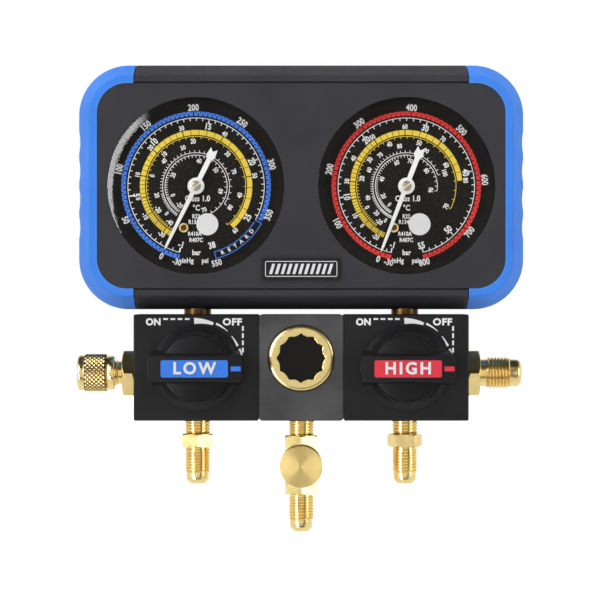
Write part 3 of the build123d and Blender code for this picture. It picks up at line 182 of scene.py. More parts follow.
def effect(name, inputs, outputs):
    """An empty shader node group with named inputs and their values, and named outputs and their kinds."""
    group = bpy.data.node_groups.new(name, "ShaderNodeTree")
    for label, value in inputs.items():
        kind = COLOUR if isinstance(value, tuple) else FLOAT
        socket = group.interface.new_socket(label, in_out="INPUT", socket_type=kind)
        socket.default_value = value
    for label, kind in outputs.items():
        group.interface.new_socket(label, in_out="OUTPUT", socket_type=kind)
    return group, group.nodes.new("NodeGroupInput").outputs, group.nodes.new("NodeGroupOutput").inputs


def moulded_grain_effect():
    """Fine spark-eroded grain of a moulding, with broad cloudiness in its colour."""
    group, given, out = effect(
        "moulded grain",
        {"Colour": (0.5, 0.5, 0.5, 1.0), "Cloudiness": 0.1, "Grain size": 3000.0, "Roughness": 0.5},
        {"Colour": COLOUR, "Roughness": FLOAT, "Height": FLOAT},
    )
    place = object_place(group)
    clouds = ramp(group, noise(group, place, 45.0, 3.0), 0.3, 0.7, -1.0, 1.0)
    value = arithmetic(group, "ADD", product(group, clouds, given["Cloudiness"]), 1.0)
    shade = add(group, "ShaderNodeHueSaturation", Value=value, Color=given["Colour"])
    sheen = ramp(group, noise(group, place, 160.0, 3.0), 0.3, 0.7, -0.05, 0.05)
    feed(group, out["Colour"], shade.outputs["Color"])
    feed(group, out["Roughness"], arithmetic(group, "ADD", sheen, given["Roughness"]))
    feed(group, out["Height"], noise(group, place, given["Grain size"], 2.0))
    return group


def handled_edges_effect():
    """A mask of the outer edges, where a painted highlight makes them paler: 0 on flats and 1 on sharp edges.
    """
    group, given, out = effect("painted edge highlight", {"Width": 0.5 * MM, "Contrast": 3.0}, {"Mask": FLOAT})
    rounded = add(group, "ShaderNodeBevel", Radius=given["Width"])
    rounded.samples = 4
    flat = group.nodes.new("ShaderNodeNewGeometry")
    alike = agreement(group, rounded.outputs["Normal"], flat.outputs["Normal"])
    turned_away = arithmetic(group, "SUBTRACT", 1.0, alike)
    feed(group, out["Mask"], arithmetic(group, "MULTIPLY", turned_away, given["Contrast"], clamped=True))
    return group


def turned_metal_effect():
    """Fine machining marks, thumb smears and a little tarnish on turned metal."""
    group, given, out = effect(
        "turned metal",
        {
            "Colour": (0.8, 0.6, 0.3, 1.0), "Tarnish": (0.4, 0.25, 0.1, 1.0), "Tarnish amount": 0.3,
            "Roughness": 0.2,
        },
        {"Colour": COLOUR, "Roughness": FLOAT, "Height": FLOAT},
    )
    place = object_place(group)
    stains = ramp(group, noise(group, place, 260.0, 5.0, 0.6), 0.42, 0.72)
    amount = product(group, stains, given["Tarnish amount"])
    smears = ramp(group, noise(group, place, 90.0, 4.0), 0.3, 0.7, -0.06, 0.1)
    feed(group, out["Colour"], blend(group, amount, given["Colour"], given["Tarnish"]))
    feed(group, out["Roughness"], arithmetic(group, "ADD", smears, given["Roughness"]))
    feed(group, out["Height"], noise(group, place, 5200.0, 3.0, 0.7))
    return group


def lens_rim_effect():
    """A mask of the rims of the two gauge lenses: 0 over the dials and 1 on the last few millimetres."""
    group, given, out = effect(
        "lens rim", {"Inner radius": 33.8 * MM, "Outer radius": 35.2 * MM}, {"Mask": FLOAT},
    )
    place = add(group, "ShaderNodeSeparateXYZ", Vector=object_place(group)).outputs
    across = arithmetic(group, "SUBTRACT", arithmetic(group, "ABSOLUTE", place["X"]), HUB_X * MM)
    up = arithmetic(group, "SUBTRACT", place["Z"], HUB_Z * MM)
    radius = distance(group, across, up)
    feed(group, out["Mask"], ramp(group, radius, given["Inner radius"], given["Outer radius"]))
    return group


MOULDED_GRAIN = moulded_grain_effect()
EDGE_HIGHLIGHT = handled_edges_effect()
TURNED_METAL = turned_metal_effect()
LENS_RIM = lens_rim_effect()


# ---------------------------------------------------------------- materials

GRAIN_DEPTH = 0.04 * MM       # of a moulding's grain
MARK_DEPTH = 0.03 * MM        # of machining marks on metal
RING_DEPTH = 0.01 * MM        # of the rings on a face turned on a lathe
LENS_INDEX = 1.1              # low, as an anti-glare coating makes it
RIM_INDEX = 1.5
RIM_GLOSS = 0.7
HAZE = 0.015


def plastic(name, colour, rough, cloudiness, grain, relief, edge_highlight=None, gloss=0.5):
    """A moulded plastic or paint: grain, cloudiness and, if a colour for the edges is given, edges painted
    paler as a painted highlight.
    """
    material, tree, shader = new_material(name)
    surface = placed(
        tree, MOULDED_GRAIN, Colour=(*colour, 1.0), Cloudiness=cloudiness, Grain_size=grain, Roughness=rough,
    )
    paint = surface["Colour"]
    # Paler edges are a painted highlight, standing in for light on rounded edges
    if edge_highlight:
        paint = blend(tree, placed(tree, EDGE_HIGHLIGHT)["Mask"], paint, (*edge_highlight, 1.0))
    feed(tree, shader.inputs["Base Color"], paint)
    feed(tree, shader.inputs["Roughness"], surface["Roughness"])
    shader.inputs["Specular IOR Level"].default_value = gloss
    bump(tree, shader, surface["Height"], relief, GRAIN_DEPTH)
    return material


def smooth_metal(name, colour, tarnish, amount, rough):
    """Metal without relief: gives the material, its nodes and shader, and the height of its marks."""
    material, tree, shader = new_material(name)
    shader.inputs["Metallic"].default_value = 1.0
    surface = placed(
        tree, TURNED_METAL, Colour=(*colour, 1.0), Tarnish=(*tarnish, 1.0), Tarnish_amount=amount,
        Roughness=rough,
    )
    feed(tree, shader.inputs["Base Color"], surface["Colour"])
    feed(tree, shader.inputs["Roughness"], surface["Roughness"])
    return material, tree, shader, surface["Height"]


def metal(name, colour, tarnish, amount, rough, relief=0.06):
    material, tree, shader, marks = smooth_metal(name, colour, tarnish, amount, rough)
    bump(tree, shader, marks, relief, MARK_DEPTH)
    return material


def knurled_metal(name, axis_y, axis_z, groove_r, crest_r, colour, tarnish, rough, groove):
    """Metal with a knurl about an axis that runs across: the colour darkens towards the roots, a painted shade
    in the grooves between the points.
    """
    material, tree, shader, marks = smooth_metal(name, colour, tarnish, 0.2, rough)
    bump(tree, shader, marks, 0.06, MARK_DEPTH)
    place = add(tree, "ShaderNodeSeparateXYZ", Vector=object_place(tree)).outputs
    out = arithmetic(tree, "SUBTRACT", place["Y"], axis_y * MM)
    up = arithmetic(tree, "SUBTRACT", place["Z"], axis_z * MM)
    # Painted shade: darker towards the knurl's root radius
    depth = ramp(tree, distance(tree, out, up), groove_r * MM, crest_r * MM, 0.9, 0.0)
    bright = shader.inputs["Base Color"].links[0].from_socket
    feed(tree, shader.inputs["Base Color"], blend(tree, depth, bright, (*groove, 1.0)))
    return material


def turned_face(name, centre, colour, tarnish, rough, rings_per_mm):
    """Metal faced off on a lathe: fine rings about an axis that runs front to back through the centre."""
    material, tree, shader, _ = smooth_metal(name, colour, tarnish, 0.25, rough)
    to_centre = [-value * MM for value in centre]
    place = add(tree, "ShaderNodeMapping", Vector=object_place(tree), Location=to_centre)
    rings = add(
        tree, "ShaderNodeTexWave", Vector=place.outputs["Vector"],
        Scale=rings_per_mm / MM / math.pi / 2, Distortion=0.4,
    )
    rings.wave_type = "RINGS"
    rings.rings_direction = "Y"
    bump(tree, shader, rings.outputs["Fac"], 0.1, RING_DEPTH)
    shader.inputs["Anisotropic"].default_value = 0.8
    shader.inputs["Anisotropic Rotation"].default_value = 0.25
    grain = tree.nodes.new("ShaderNodeTangent")
    grain.direction_type = "RADIAL"
    grain.axis = "Y"
    feed(tree, shader.inputs["Tangent"], grain.outputs["Tangent"])
    return material


def clear_moulding(name):
    """Clear plastic: coated against glare over the dial, and bare and glossy at its rim."""
    material, tree, shader = new_material(name)
    shader.inputs["Base Color"].default_value = (1.0, 1.0, 1.0, 1.0)
    shader.inputs["Transmission Weight"].default_value = 1.0
    shader.inputs["IOR"].default_value = LENS_INDEX
    shader.inputs["Coat IOR"].default_value = RIM_INDEX
    shader.inputs["Coat Roughness"].default_value = 0.03
    rim = placed(tree, LENS_RIM)["Mask"]
    feed(tree, shader.inputs["Coat Weight"], ramp(tree, rim, 0.0, 1.0, 0.0, RIM_GLOSS))
    smears = noise(tree, object_place(tree), 120.0, 4.0)
    feed(tree, shader.inputs["Roughness"], ramp(tree, smears, 0.5, 0.8, 0.0, HAZE))
    # Lamps and the room light what is behind the lens straight through it
    lighting = any_ray(tree, "Shadow", "Diffuse", "Glossy")
    through = tree.nodes.new("ShaderNodeBsdfTransparent")
    show_either(tree, lighting, shader.outputs["BSDF"], through.outputs["BSDF"], "Material Output")
    return material


# Name, colour, roughness, cloudiness, fineness of the grain, its relief, then the paler colour of the painted
# edge highlight and gloss
HOUSING = plastic(
    "housing matte black", (0.040, 0.040, 0.046), 0.55, 0.10, 2600.0, 0.2,
    edge_highlight=(0.055, 0.055, 0.06), gloss=0.12,
)
BUMPER = plastic(
    "bumper blue rubber", (0.058, 0.235, 0.80), 0.5, 0.06, 3400.0, 0.15,
    edge_highlight=(0.08, 0.28, 0.85), gloss=0.08,
)
BADGE = plastic("badge gloss black", (0.006, 0.006, 0.007), 0.12, 0.05, 400.0, 0.02, gloss=0.3)
CASE = plastic("gauge case black", (0.010, 0.010, 0.011), 0.35, 0.06, 1500.0, 0.05, gloss=0.2)
DIAL = plastic("dial face black", (0.016, 0.014, 0.012), 0.7, 0.05, 2500.0, 0.05, gloss=0.05)
PLUG = plastic("plug white rubber", (0.72, 0.72, 0.73), 0.45, 0.03, 1800.0, 0.1)
POINTER = plastic("pointer white paint", (0.84, 0.84, 0.83), 0.35, 0.02, 1500.0, 0.03)
# The dial's white is a darker copy of the blocks' white: painted shade on the dial
PRINT_WHITE_SHADED = plastic("print white", (0.82, 0.82, 0.81), 0.5, 0.04, 2000.0, 0.03, gloss=0.1)
BLOCK_WHITE = plastic("print white on the blocks", (0.95, 0.95, 0.94), 0.5, 0.03, 2000.0, 0.03, gloss=0.1)
PRINT_BLUE = plastic("print blue", (0.075, 0.23, 0.80), 0.5, 0.10, 2000.0, 0.03, gloss=0.1)
PRINT_BLUE_DARK = plastic("print blue divisions", (0.006, 0.014, 0.07), 0.5, 0.1, 2000.0, 0.03, gloss=0.1)
PRINT_RED = plastic("print red", (0.72, 0.05, 0.045), 0.5, 0.10, 2000.0, 0.03, gloss=0.1)
PRINT_RED_DARK = plastic("print red divisions", (0.12, 0.006, 0.006), 0.5, 0.1, 2000.0, 0.03, gloss=0.1)
PRINT_YELLOW = plastic("print yellow", (0.80, 0.60, 0.07), 0.5, 0.06, 2000.0, 0.03, gloss=0.1)
PRINT_BLACK = plastic("print black divisions", (0.03, 0.025, 0.015), 0.55, 0.1, 2000.0, 0.03, gloss=0.1)
BLOCK = plastic(
    "block black paint", (0.013, 0.013, 0.013), 0.45, 0.25, 900.0, 0.22,
    edge_highlight=(0.035, 0.035, 0.036), gloss=0.18,
)
CAST = plastic(
    "block cast black", (0.075, 0.075, 0.076), 0.5, 0.4, 1100.0, 0.7,
    edge_highlight=(0.10, 0.10, 0.10), gloss=0.25,
)
SEAL = plastic("seal rubber", (0.01, 0.01, 0.01), 0.6, 0.1, 1200.0, 0.1)
KNOB = plastic(
    "knob satin black", (0.010, 0.010, 0.011), 0.38, 0.08, 2200.0, 0.1,
    edge_highlight=(0.025, 0.025, 0.027), gloss=0.16,
)
INSERT_BLUE = plastic("insert blue", (0.04, 0.20, 0.76), 0.3, 0.05, 900.0, 0.03, gloss=0.3)
INSERT_RED = plastic("insert red", (0.72, 0.035, 0.06), 0.3, 0.05, 900.0, 0.03, gloss=0.3)
# The sight glass and the shaded chamber behind it as one dark glossy surface: painted shade
SIGHT_WINDOW_SHADE = plastic("sight window with painted shade", (0.006, 0.004, 0.003), 0.12, 0.3, 300.0, 0.02, gloss=0.2)
LENS = clear_moulding("lens acrylic")

# Name, colour, tarnish's colour and amount, roughness, and the relief of the machining marks
TARNISHED = (0.55, 0.38, 0.13)
BRASS = metal("brass", (0.88, 0.69, 0.30), TARNISHED, 0.3, 0.2)
BRASS_DULL = metal("brass dull", (0.45, 0.40, 0.27), (0.25, 0.2, 0.1), 0.3, 0.35)
# A copy of brass darkened as painted shade, for the gauge sockets and Bourdon tubes under the housing and the
# zero screws' slots
BRASS_SHADED = metal("brass with painted shade", (0.12, 0.065, 0.022), (0.04, 0.022, 0.01), 0.8, 0.3)
BRASS_TURNED = turned_face(
    "brass turned face", (0.0, PIPE_Y, SERVICE_Z), (0.80, 0.60, 0.24), TARNISHED, 0.34, rings_per_mm=3.0,
)
# The groove colour is the painted shade at the roots of the knurl
BRASS_KNURL = knurled_metal(
    "brass knurl with painted shade", PIPE_Y, SIDE_PORT_Z, 7.80, 8.02, (0.90, 0.72, 0.33), TARNISHED, 0.3,
    groove=(0.12, 0.07, 0.02),
)
CHROME = metal("chrome", (0.88, 0.88, 0.9), (0.6, 0.6, 0.6), 0.1, 0.08, 0.02)
STEEL = metal("zinc steel", (0.62, 0.63, 0.64), (0.38, 0.37, 0.34), 0.35, 0.28)


def paint(material, *nodes):
    for name in nodes:
        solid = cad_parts[name]
        solid.data.materials.clear()
        solid.data.materials.append(material)


def both(*names):
    """Each name with _low and with _high."""
    return [f"{name}_{side}" for name in names for side in SIDES]


paint(HOUSING, "front_cover", "rear_cover")
paint(BUMPER, "bumper_left", "bumper_right")
paint(BADGE, "badge_plate")
paint(CASE, *both("gauge_case"))
paint(DIAL, *both("gauge_dial"))
paint(LENS, *both("gauge_lens"))
paint(PLUG, *both("lens_plug"))
paint(POINTER, *both("pointer"))
paint(BLOCK, *both("valve_block"))
paint(CAST, "sight_block")
paint(SEAL, "block_seals", "sight_gasket", "side_cap_seal", "service_cap_seal")
paint(KNOB, *both("knob"))
paint(INSERT_BLUE, "knob_insert_low")
paint(INSERT_RED, "knob_insert_high")
paint(BRASS, *both("zero_screw", "hose_fitting", "gland_nut", "valve_spindle"))
paint(BRASS, *both("pinion", "sector_gear", "movement_frame"))
paint(BRASS, "service_tee", "side_fitting_left", "side_fitting_right", "side_cap", "service_cap")
paint(BRASS, "sight_ring", "block_nipples", "port_cores", "core_pin_side", "core_pin_service")
paint(BRASS_SHADED, *both("gauge_socket", "bourdon_tube"))
paint(STEEL, "housing_screws", "tie_bolts", "tube_links", "hook_bracket", "hanging_hook")
paint(SIGHT_WINDOW_SHADE, "sight_window")


# ---------------------------------------------------------------- ways of making pieces

PRINT_T = 0.04                # thickness of a printed line or letter
RAISED_T = PRINT_T * 1.6      # thickness of a mark printed over a coloured band
ROUND_STEPS = 72              # sides of a turned piece
FINE_STEPS = 96               # sides of a larger turned piece
THREAD_STEPS = 48             # steps to a turn of a thread
ARC_STEP = 2.5                # degrees to a step of a printed arc
SMOOTH_ANGLE = math.radians(32.0)
ROUNDED_ANGLE = math.radians(40.0)
TO_FRONT = Matrix.Rotation(math.radians(90.0), 4, "X")
CENTRE = 0.05                 # radius at which a turned face is closed
CAPITAL_SHARE = 0.7           # height of the font's capitals over its size


def at(x, y, z=0.0):
    return Matrix.Translation((x * MM, y * MM, z * MM))


def front_place(x, y, z):
    """Turns a piece made upward from the origin to point to the front from a place."""
    return at(x, y, z) @ TO_FRONT


def select_only(piece):
    bpy.ops.object.select_all(action="DESELECT")
    piece.select_set(True)
    bpy.context.view_layer.objects.active = piece


def edit_whole(piece):
    select_only(piece)
    bpy.ops.object.mode_set(mode="EDIT")
    bpy.ops.mesh.select_all(action="SELECT")


def keep_place(piece):
    """Puts the piece's place, turn and size into its mesh."""
    select_only(piece)
    bpy.ops.object.transform_apply(location=True, rotation=True, scale=True)


def face_outwards(piece, merge=0.0):
    edit_whole(piece)
    if merge:
        bpy.ops.mesh.remove_doubles(threshold=merge)
    bpy.ops.mesh.normals_make_consistent(inside=False)
    bpy.ops.object.mode_set(mode="OBJECT")


def smooth(piece, angle=SMOOTH_ANGLE):
    select_only(piece)
    bpy.ops.object.shade_smooth_by_angle(angle=angle)


def join(parts):
    bpy.ops.object.select_all(action="DESELECT")
    for part in parts:
        part.select_set(True)
    bpy.context.view_layer.objects.active = parts[0]
    bpy.ops.object.join()
    return bpy.context.object


def moved(piece, place):
    piece.data.transform(place)
    return piece


def copies(pattern, places):
    """One mesh with a copy of the pattern at each place; the pattern itself is used up."""
    gathered = bmesh.new()
    for place in places:
        mesh = pattern.data.copy()
        mesh.transform(place)
        gathered.from_mesh(mesh)
        bpy.data.meshes.remove(mesh)
    gathered.to_mesh(pattern.data)
    gathered.free()
    return pattern


def cut(piece, tool, operation="DIFFERENCE"):
    """Cuts the tool out of the piece, or keeps only what lies in both, and takes the tool away."""
    select_only(piece)
    carving = piece.modifiers.new("cut", "BOOLEAN")
    carving.operation = operation
    carving.solver = "EXACT"
    carving.object = tool
    bpy.ops.object.modifier_apply(modifier=carving.name)
    bpy.data.objects.remove(tool)


def break_edges(piece, width, segments, least_degrees):
    """Rounds the edges that turn by more than an angle."""
    select_only(piece)
    edges = piece.modifiers.new("edges", "BEVEL")
    edges.width = width * MM
    edges.segments = segments
    edges.limit_method = "ANGLE"
    edges.angle_limit = math.radians(least_degrees)
    bpy.ops.object.modifier_apply(modifier=edges.name)


def turn(outline, steps=ROUND_STEPS):
    """A body turned about the z axis: a disc is extruded and resized from each (radius, z) to the next."""
    radius, z = outline[0]
    bpy.ops.mesh.primitive_circle_add(
        vertices=steps, radius=radius * MM, fill_type="NGON", location=(0, 0, z * MM))
    body = bpy.context.object
    keep_place(body)
    edit_whole(body)
    for next_radius, next_z in outline[1:]:
        bpy.ops.mesh.extrude_region_move(TRANSFORM_OT_translate={"value": (0, 0, (next_z - z) * MM)})
        share = next_radius / radius
        bpy.ops.transform.resize(value=(share, share, 1.0), center_override=(0, 0, next_z * MM))
        radius, z = next_radius, next_z
    bpy.ops.object.mode_set(mode="OBJECT")
    face_outwards(body)
    return body


def smooth_turn(outline, steps=ROUND_STEPS, angle=SMOOTH_ANGLE):
    """A turned body whose rounded faces are shaded smooth."""
    body = turn(outline, steps)
    smooth(body, angle)
    return body


THREAD_SUNK = 0.25            # how far a thread's ridge reaches into its core, and starts before its end
RIDGE_FOOT, RIDGE_CREST = 0.56, 0.17    # half widths of the ridge, as shares of the pitch
RUN_OUT = 1.2                 # slope at which a thread runs out


def thread(crest, root, pitch, low, high):
    """A thread about the z axis: a wedge is screwed along it and runs out into the root at both ends."""
    bpy.ops.mesh.primitive_plane_add(size=1.0)
    ridge = bpy.context.object
    foot = root - THREAD_SUNK
    wedge = [(foot, -RIDGE_FOOT), (crest, -RIDGE_CREST), (foot, RIDGE_FOOT), (crest, RIDGE_CREST)]
    for vertex, (radius, share) in zip(ridge.data.vertices, wedge):
        vertex.co = (radius * MM, 0.0, (low - pitch / 2 + share * pitch) * MM)
    edit_whole(ridge)
    bpy.ops.mesh.delete(type="ONLY_FACE")
    bpy.ops.object.mode_set(mode="OBJECT")
    screw = ridge.modifiers.new("screw", "SCREW")
    screw.axis = "Z"
    screw.screw_offset = pitch * MM
    screw.iterations = math.ceil((high - low) / pitch) + 1
    screw.steps = THREAD_STEPS
    screw.render_steps = THREAD_STEPS
    screw.use_merge_vertices = False
    bpy.ops.object.modifier_apply(modifier=screw.name)
    bpy.ops.object.mode_set(mode="EDIT")
    bpy.ops.mesh.select_all(action="DESELECT")
    bpy.ops.mesh.select_mode(type="EDGE")
    bpy.ops.mesh.select_non_manifold(
        extend=False, use_wire=False, use_boundary=True,
        use_multi_face=False, use_non_contiguous=False, use_verts=False,
    )
    bpy.ops.mesh.fill()
    bpy.ops.mesh.select_mode(type="VERT")
    bpy.ops.object.mode_set(mode="OBJECT")
    for vertex in ridge.data.vertices:
        radius = math.hypot(vertex.co.x, vertex.co.y)
        inside = min(vertex.co.z / MM - low, high - vertex.co.z / MM)
        most = (foot + max(0.0, inside + THREAD_SUNK) * RUN_OUT) * MM
        if radius > most:
            vertex.co.x *= most / radius
            vertex.co.y *= most / radius
        vertex.co.z = min(max(vertex.co.z, low * MM), high * MM)
    face_outwards(ridge)
    smooth(ridge)
    return ridge


CORNER_RISE = 0.62            # height of the turned-off corners over how far the corners stand out
FLAT_SHARE = 0.985            # radius of the turned end over half the width across flats


def hexagon(across_flats, low, high, turned_by=0.0):
    """A hexagon about the z axis with its corners turned off at both ends."""
    flat = across_flats / 2
    corner = flat / math.cos(math.pi / 6)
    bpy.ops.mesh.primitive_cylinder_add(
        vertices=6, radius=corner * MM, depth=(high - low) * MM,
        location=(0, 0, (low + high) / 2 * MM), rotation=(0, 0, math.radians(turned_by)),
    )
    bar = bpy.context.object
    keep_place(bar)
    rise = (corner - flat) * CORNER_RISE
    inner, outer = flat * FLAT_SHARE, corner + 0.05
    blank = turn([(inner, low - 0.01), (outer, low + rise), (outer, high - rise), (inner, high + 0.01)])
    cut(bar, blank, "INTERSECT")
    break_edges(bar, 0.12, 2, 35.0)
    return bar


def thicken(sheet, height=PRINT_T):
    edit_whole(sheet)
    bpy.ops.mesh.extrude_region_move(TRANSFORM_OT_translate={"value": (0, 0, height * MM)})
    bpy.ops.object.mode_set(mode="OBJECT")
    face_outwards(sheet)
    return sheet


def dash(width, height, thickness=PRINT_T):
    """A flat bar in the plane of a print, centred on the origin."""
    bpy.ops.mesh.primitive_plane_add(size=1.0)
    bar = bpy.context.object
    bar.scale = (width * MM, height * MM, 1.0)
    keep_place(bar)
    return thicken(bar, thickness)


def arc_strip(start, end, inner, outer, inner_end=None, outer_end=None):
    """A flat arc, clockwise from start to end in degrees from the top, between two radii that may taper."""
    inner_end = inner if inner_end is None else inner_end
    outer_end = outer if outer_end is None else outer_end
    steps = max(2, round((end - start) / ARC_STEP))
    bpy.ops.mesh.primitive_grid_add(x_subdivisions=steps, y_subdivisions=1, size=2.0)
    strip = bpy.context.object
    for vertex in strip.data.vertices:
        along = (vertex.co.x + 1) / 2
        across = (vertex.co.y + 1) / 2
        low = inner + (inner_end - inner) * along
        high = outer + (outer_end - outer) * along
        angle = math.radians(start + (end - start) * along)
        radius = (low + (high - low) * across) * MM
        vertex.co = (radius * math.sin(angle), radius * math.cos(angle), 0.0)
    return thicken(strip)


def lettering(words, height, squeeze=0.78, spacing=1.05, weight=0.045, thickness=PRINT_T):
    """Words as a thin mesh in the plane of a print, centred on the origin; height is that of the capitals."""
    bpy.ops.object.text_add()
    text = bpy.context.object
    text.data.body = words
    text.data.align_x = "CENTER"
    text.data.align_y = "CENTER"
    text.data.size = height * MM / CAPITAL_SHARE
    text.data.space_character = spacing
    text.data.offset = weight * height * MM
    text.data.resolution_u = 3
    text.data.extrude = thickness / 2 * MM
    select_only(text)
    bpy.ops.object.convert(target="MESH")
    text = bpy.context.object
    moved(text, Matrix.Diagonal((squeeze, 1.0, 1.0, 1.0)))
    moved(text, at(0.0, 0.0, thickness / 2))
    face_outwards(text, merge=1e-7)
    return text


def round_place(angle, radius, upright=False):
    """A place on a dial, clockwise from the top. What is upright is turned over in the lower half."""
    place = Matrix.Rotation(-math.radians(angle), 4, "Z") @ at(0.0, radius)
    over = 90.0 < angle % 360.0 < 270.0
    if upright and over:
        place = place @ Matrix.Rotation(math.pi, 4, "Z")
    return place


def finish_piece(piece, name, material, body, replaced=()):
    """Names and paints a finished piece, and hands it to the body that carries it."""
    piece.name = name
    piece.data.name = name
    piece.data.materials.clear()
    piece.data.materials.append(material)
    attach(piece, body)
    if replaced:
        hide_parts(*replaced)


# ---------------------------------------------------------------- printed dials

PSI_FIGURE_R, PSI_FIGURE_H = 33.0, 2.65
BAND_INNER, BAND_OUTER = 29.6, 31.5
BAR_LINE_INNER, BAR_LINE_OUTER = 28.55, 28.85
BAR_FIGURE_R, BAR_FIGURE_H = 25.45, 2.6
END_FIGURE_H = 2.5            # of the figures at the ends of the scales
YELLOW_INNER, YELLOW_OUTER = 21.5, 23.65
YELLOW_FIGURE_R, YELLOW_FIGURE_H = 24.95, 1.95
THIN_LINE_R, THIN_FIGURE_R = 20.9, 18.8
RING_INNER_R, RING_OUTER_R = 13.05, 14.05
RING_INNER_FIGURE_R, RING_OUTER_FIGURE_R, RING_FIGURE_H = 10.55, 16.95, 1.85
LINE = 0.25                   # width of a fine printed line
TICK_W = 0.26                 # width of a fine division

# The outlined box past the end of the low scale, and its word
BOX_START, BOX_END = 479.8, 524.5
BOX_INNER, BOX_OUTER = 28.7, 31.65
BOX_LINE = 0.34
BOX_WORD, BOX_LETTER_H = "RETARD", 1.6
BOX_WORD_R, BOX_WORD_START, BOX_LETTER_STEP = 30.15, 518.3, -5.85

# Angles are degrees clockwise from the top. Each temperature scale gives the angles of some degrees Celsius,
# and is followed by the degrees that have a figure.
LOW_DIAL = {
    "zero": 206.4, "vacuum": 194.2, "psi_step": 50, "psi_angle": 37.9, "psi_last": 350, "band_end": 478.0,
    "bar_step": 5, "bar_angle": 54.97, "bar_last": 25, "minor_bar": 0.5, "psi_marks": 10,
    "end_angle": 525.0, "end_psi": "550", "end_bar": "38",
    "yellow": {
        -34: 206.4, -30: 215.7, -10: 239.5, 0: 257.7, 10: 280.9, 20: 310.1, 30: 345.9, 40: 388.8, 50: 439.7,
        60: 498.6,
    },
    "yellow_figures": (-30, -10, 0, 10, 20, 30, 40, 50, 60),
    "thin": {
        -46: 206.4, -40: 216.4, -20: 238.5, 0: 283.3, 10: 315.0, 20: 356.3, 30: 404.4, 40: 461.9, 46: 500.9,
    },
    "thin_figures": (-40, -20, 0, 10, 20, 30, 40),
    "ring_out": {-10: 214.0, 0: 227.0, 20: 256.9, 40: 308.0, 50: 341.4, 60: 382.0, 70: 428.9, 80: 482.0},
    "ring_out_figures": (0, 20, 40, 50, 70, 80),
    "ring_in": {-24: 214.0, -20: 221.1, 0: 248.7, 20: 295.6, 40: 366.9, 50: 410.8, 60: 462.0, 70: 521.3},
    "ring_in_figures": (-20, 0, 20, 40, 50, 60, 70),
}
HIGH_DIAL = {
    "zero": 201.1, "vacuum": 193.0, "psi_step": 100, "psi_angle": 40.7, "psi_last": 800, "band_end": 526.7,
    "bar_step": 10, "bar_angle": 59.0, "bar_last": 50, "minor_bar": 1, "psi_marks": 10,
    "end_angle": 525.7, "end_psi": "", "end_bar": "55",
    "yellow": {
        -28: 204.0, -20: 211.2, 0: 228.1, 10: 240.2, 20: 256.0, 30: 274.7, 40: 297.7, 50: 325.4, 60: 358.7,
        70: 397.9, 80: 444.4,
    },
    "yellow_figures": (-20, 0, 10, 30, 40, 50, 60, 70, 80),
    "thin": {-20: 217.4, 0: 241.6, 20: 279.8, 30: 305.8, 40: 338.1, 50: 376.7, 60: 422.1, 70: 476.9},
    "thin_figures": (-20, 0, 20, 30, 40, 50, 60, 70),
    "ring_out": {
        -10: 203.0, 0: 211.2, 20: 227.8, 40: 253.5, 60: 293.6, 70: 319.9, 80: 350.4, 90: 389.6, 100: 430.6,
    },
    "ring_out_figures": (0, 20, 40, 60, 70, 80, 90, 100),
    "ring_in": {-10: 211.0, 0: 222.6, 20: 246.6, 40: 286.1, 60: 337.6, 70: 368.5, 80: 412.8, 90: 459.1},
    "ring_in_figures": (0, 20, 40, 60, 70, 80, 90),
}
# Words, their place across and up from the hub, and the height of their capitals
CAPTIONS = (
    ("Class 1.0", 0.6, -5.3, 2.35), ("°C", 0.1, -9.2, 2.3),
    ("R22", 0.0, -12.75, 1.7), ("R134a", -0.6, -15.1, 1.7),
    ("R410A", -0.6, -20.1, 1.7), ("R407C", 0.0, -22.7, 1.7),
    ("bar", 0.1, -28.0, 2.2), ("inHg", -3.5, -31.4, 2.1), ("psi", 3.8, -31.4, 2.1),
)


def scale_angle(scale, value):
    """The angle of a value on a temperature scale, between the two nearest known ones."""
    below = max(known for known in scale if known <= value)
    above = min(known for known in scale if known >= value)
    if above == below:
        return scale[below]
    share = (value - below) / (above - below)
    return scale[below] + share * (scale[above] - scale[below])


def division_angles(scale, step=2):
    """The angles of every second degree, or of every so many, along a temperature scale."""
    return [scale_angle(scale, value) for value in range(min(scale), max(scale) + 1) if value % step == 0]


def figure(words, angle, radius, height):
    return moved(lettering(str(words), height), round_place(angle, radius, upright=True))


def figures(values, angle_of, radius, height):
    return [figure(value, angle_of(value), radius, height) for value in values]


def temperature_figures(dial, key, radius, height):
    return figures(dial[f"{key}_figures"], lambda degrees: scale_angle(dial[key], degrees), radius, height)


def ticks(angles, radius, length, width, thickness=PRINT_T):
    """Radial marks whose middles stand at the radius."""
    return copies(dash(width, length, thickness), [round_place(angle, radius) for angle in angles])


def fine_circle(scale, radius):
    """A fine line from the first to the last degree of a temperature scale."""
    return arc_strip(min(scale.values()), max(scale.values()), radius - LINE / 2, radius + LINE / 2)


def print_on_dial(parts, kind, side, material):
    printed = moved(join(parts), front_place(SIDES[side] * HUB_X, DIAL_FACE_Y, HUB_Z))
    finish_piece(printed, f"dial_print_{kind}_{side}", material, "manifold")


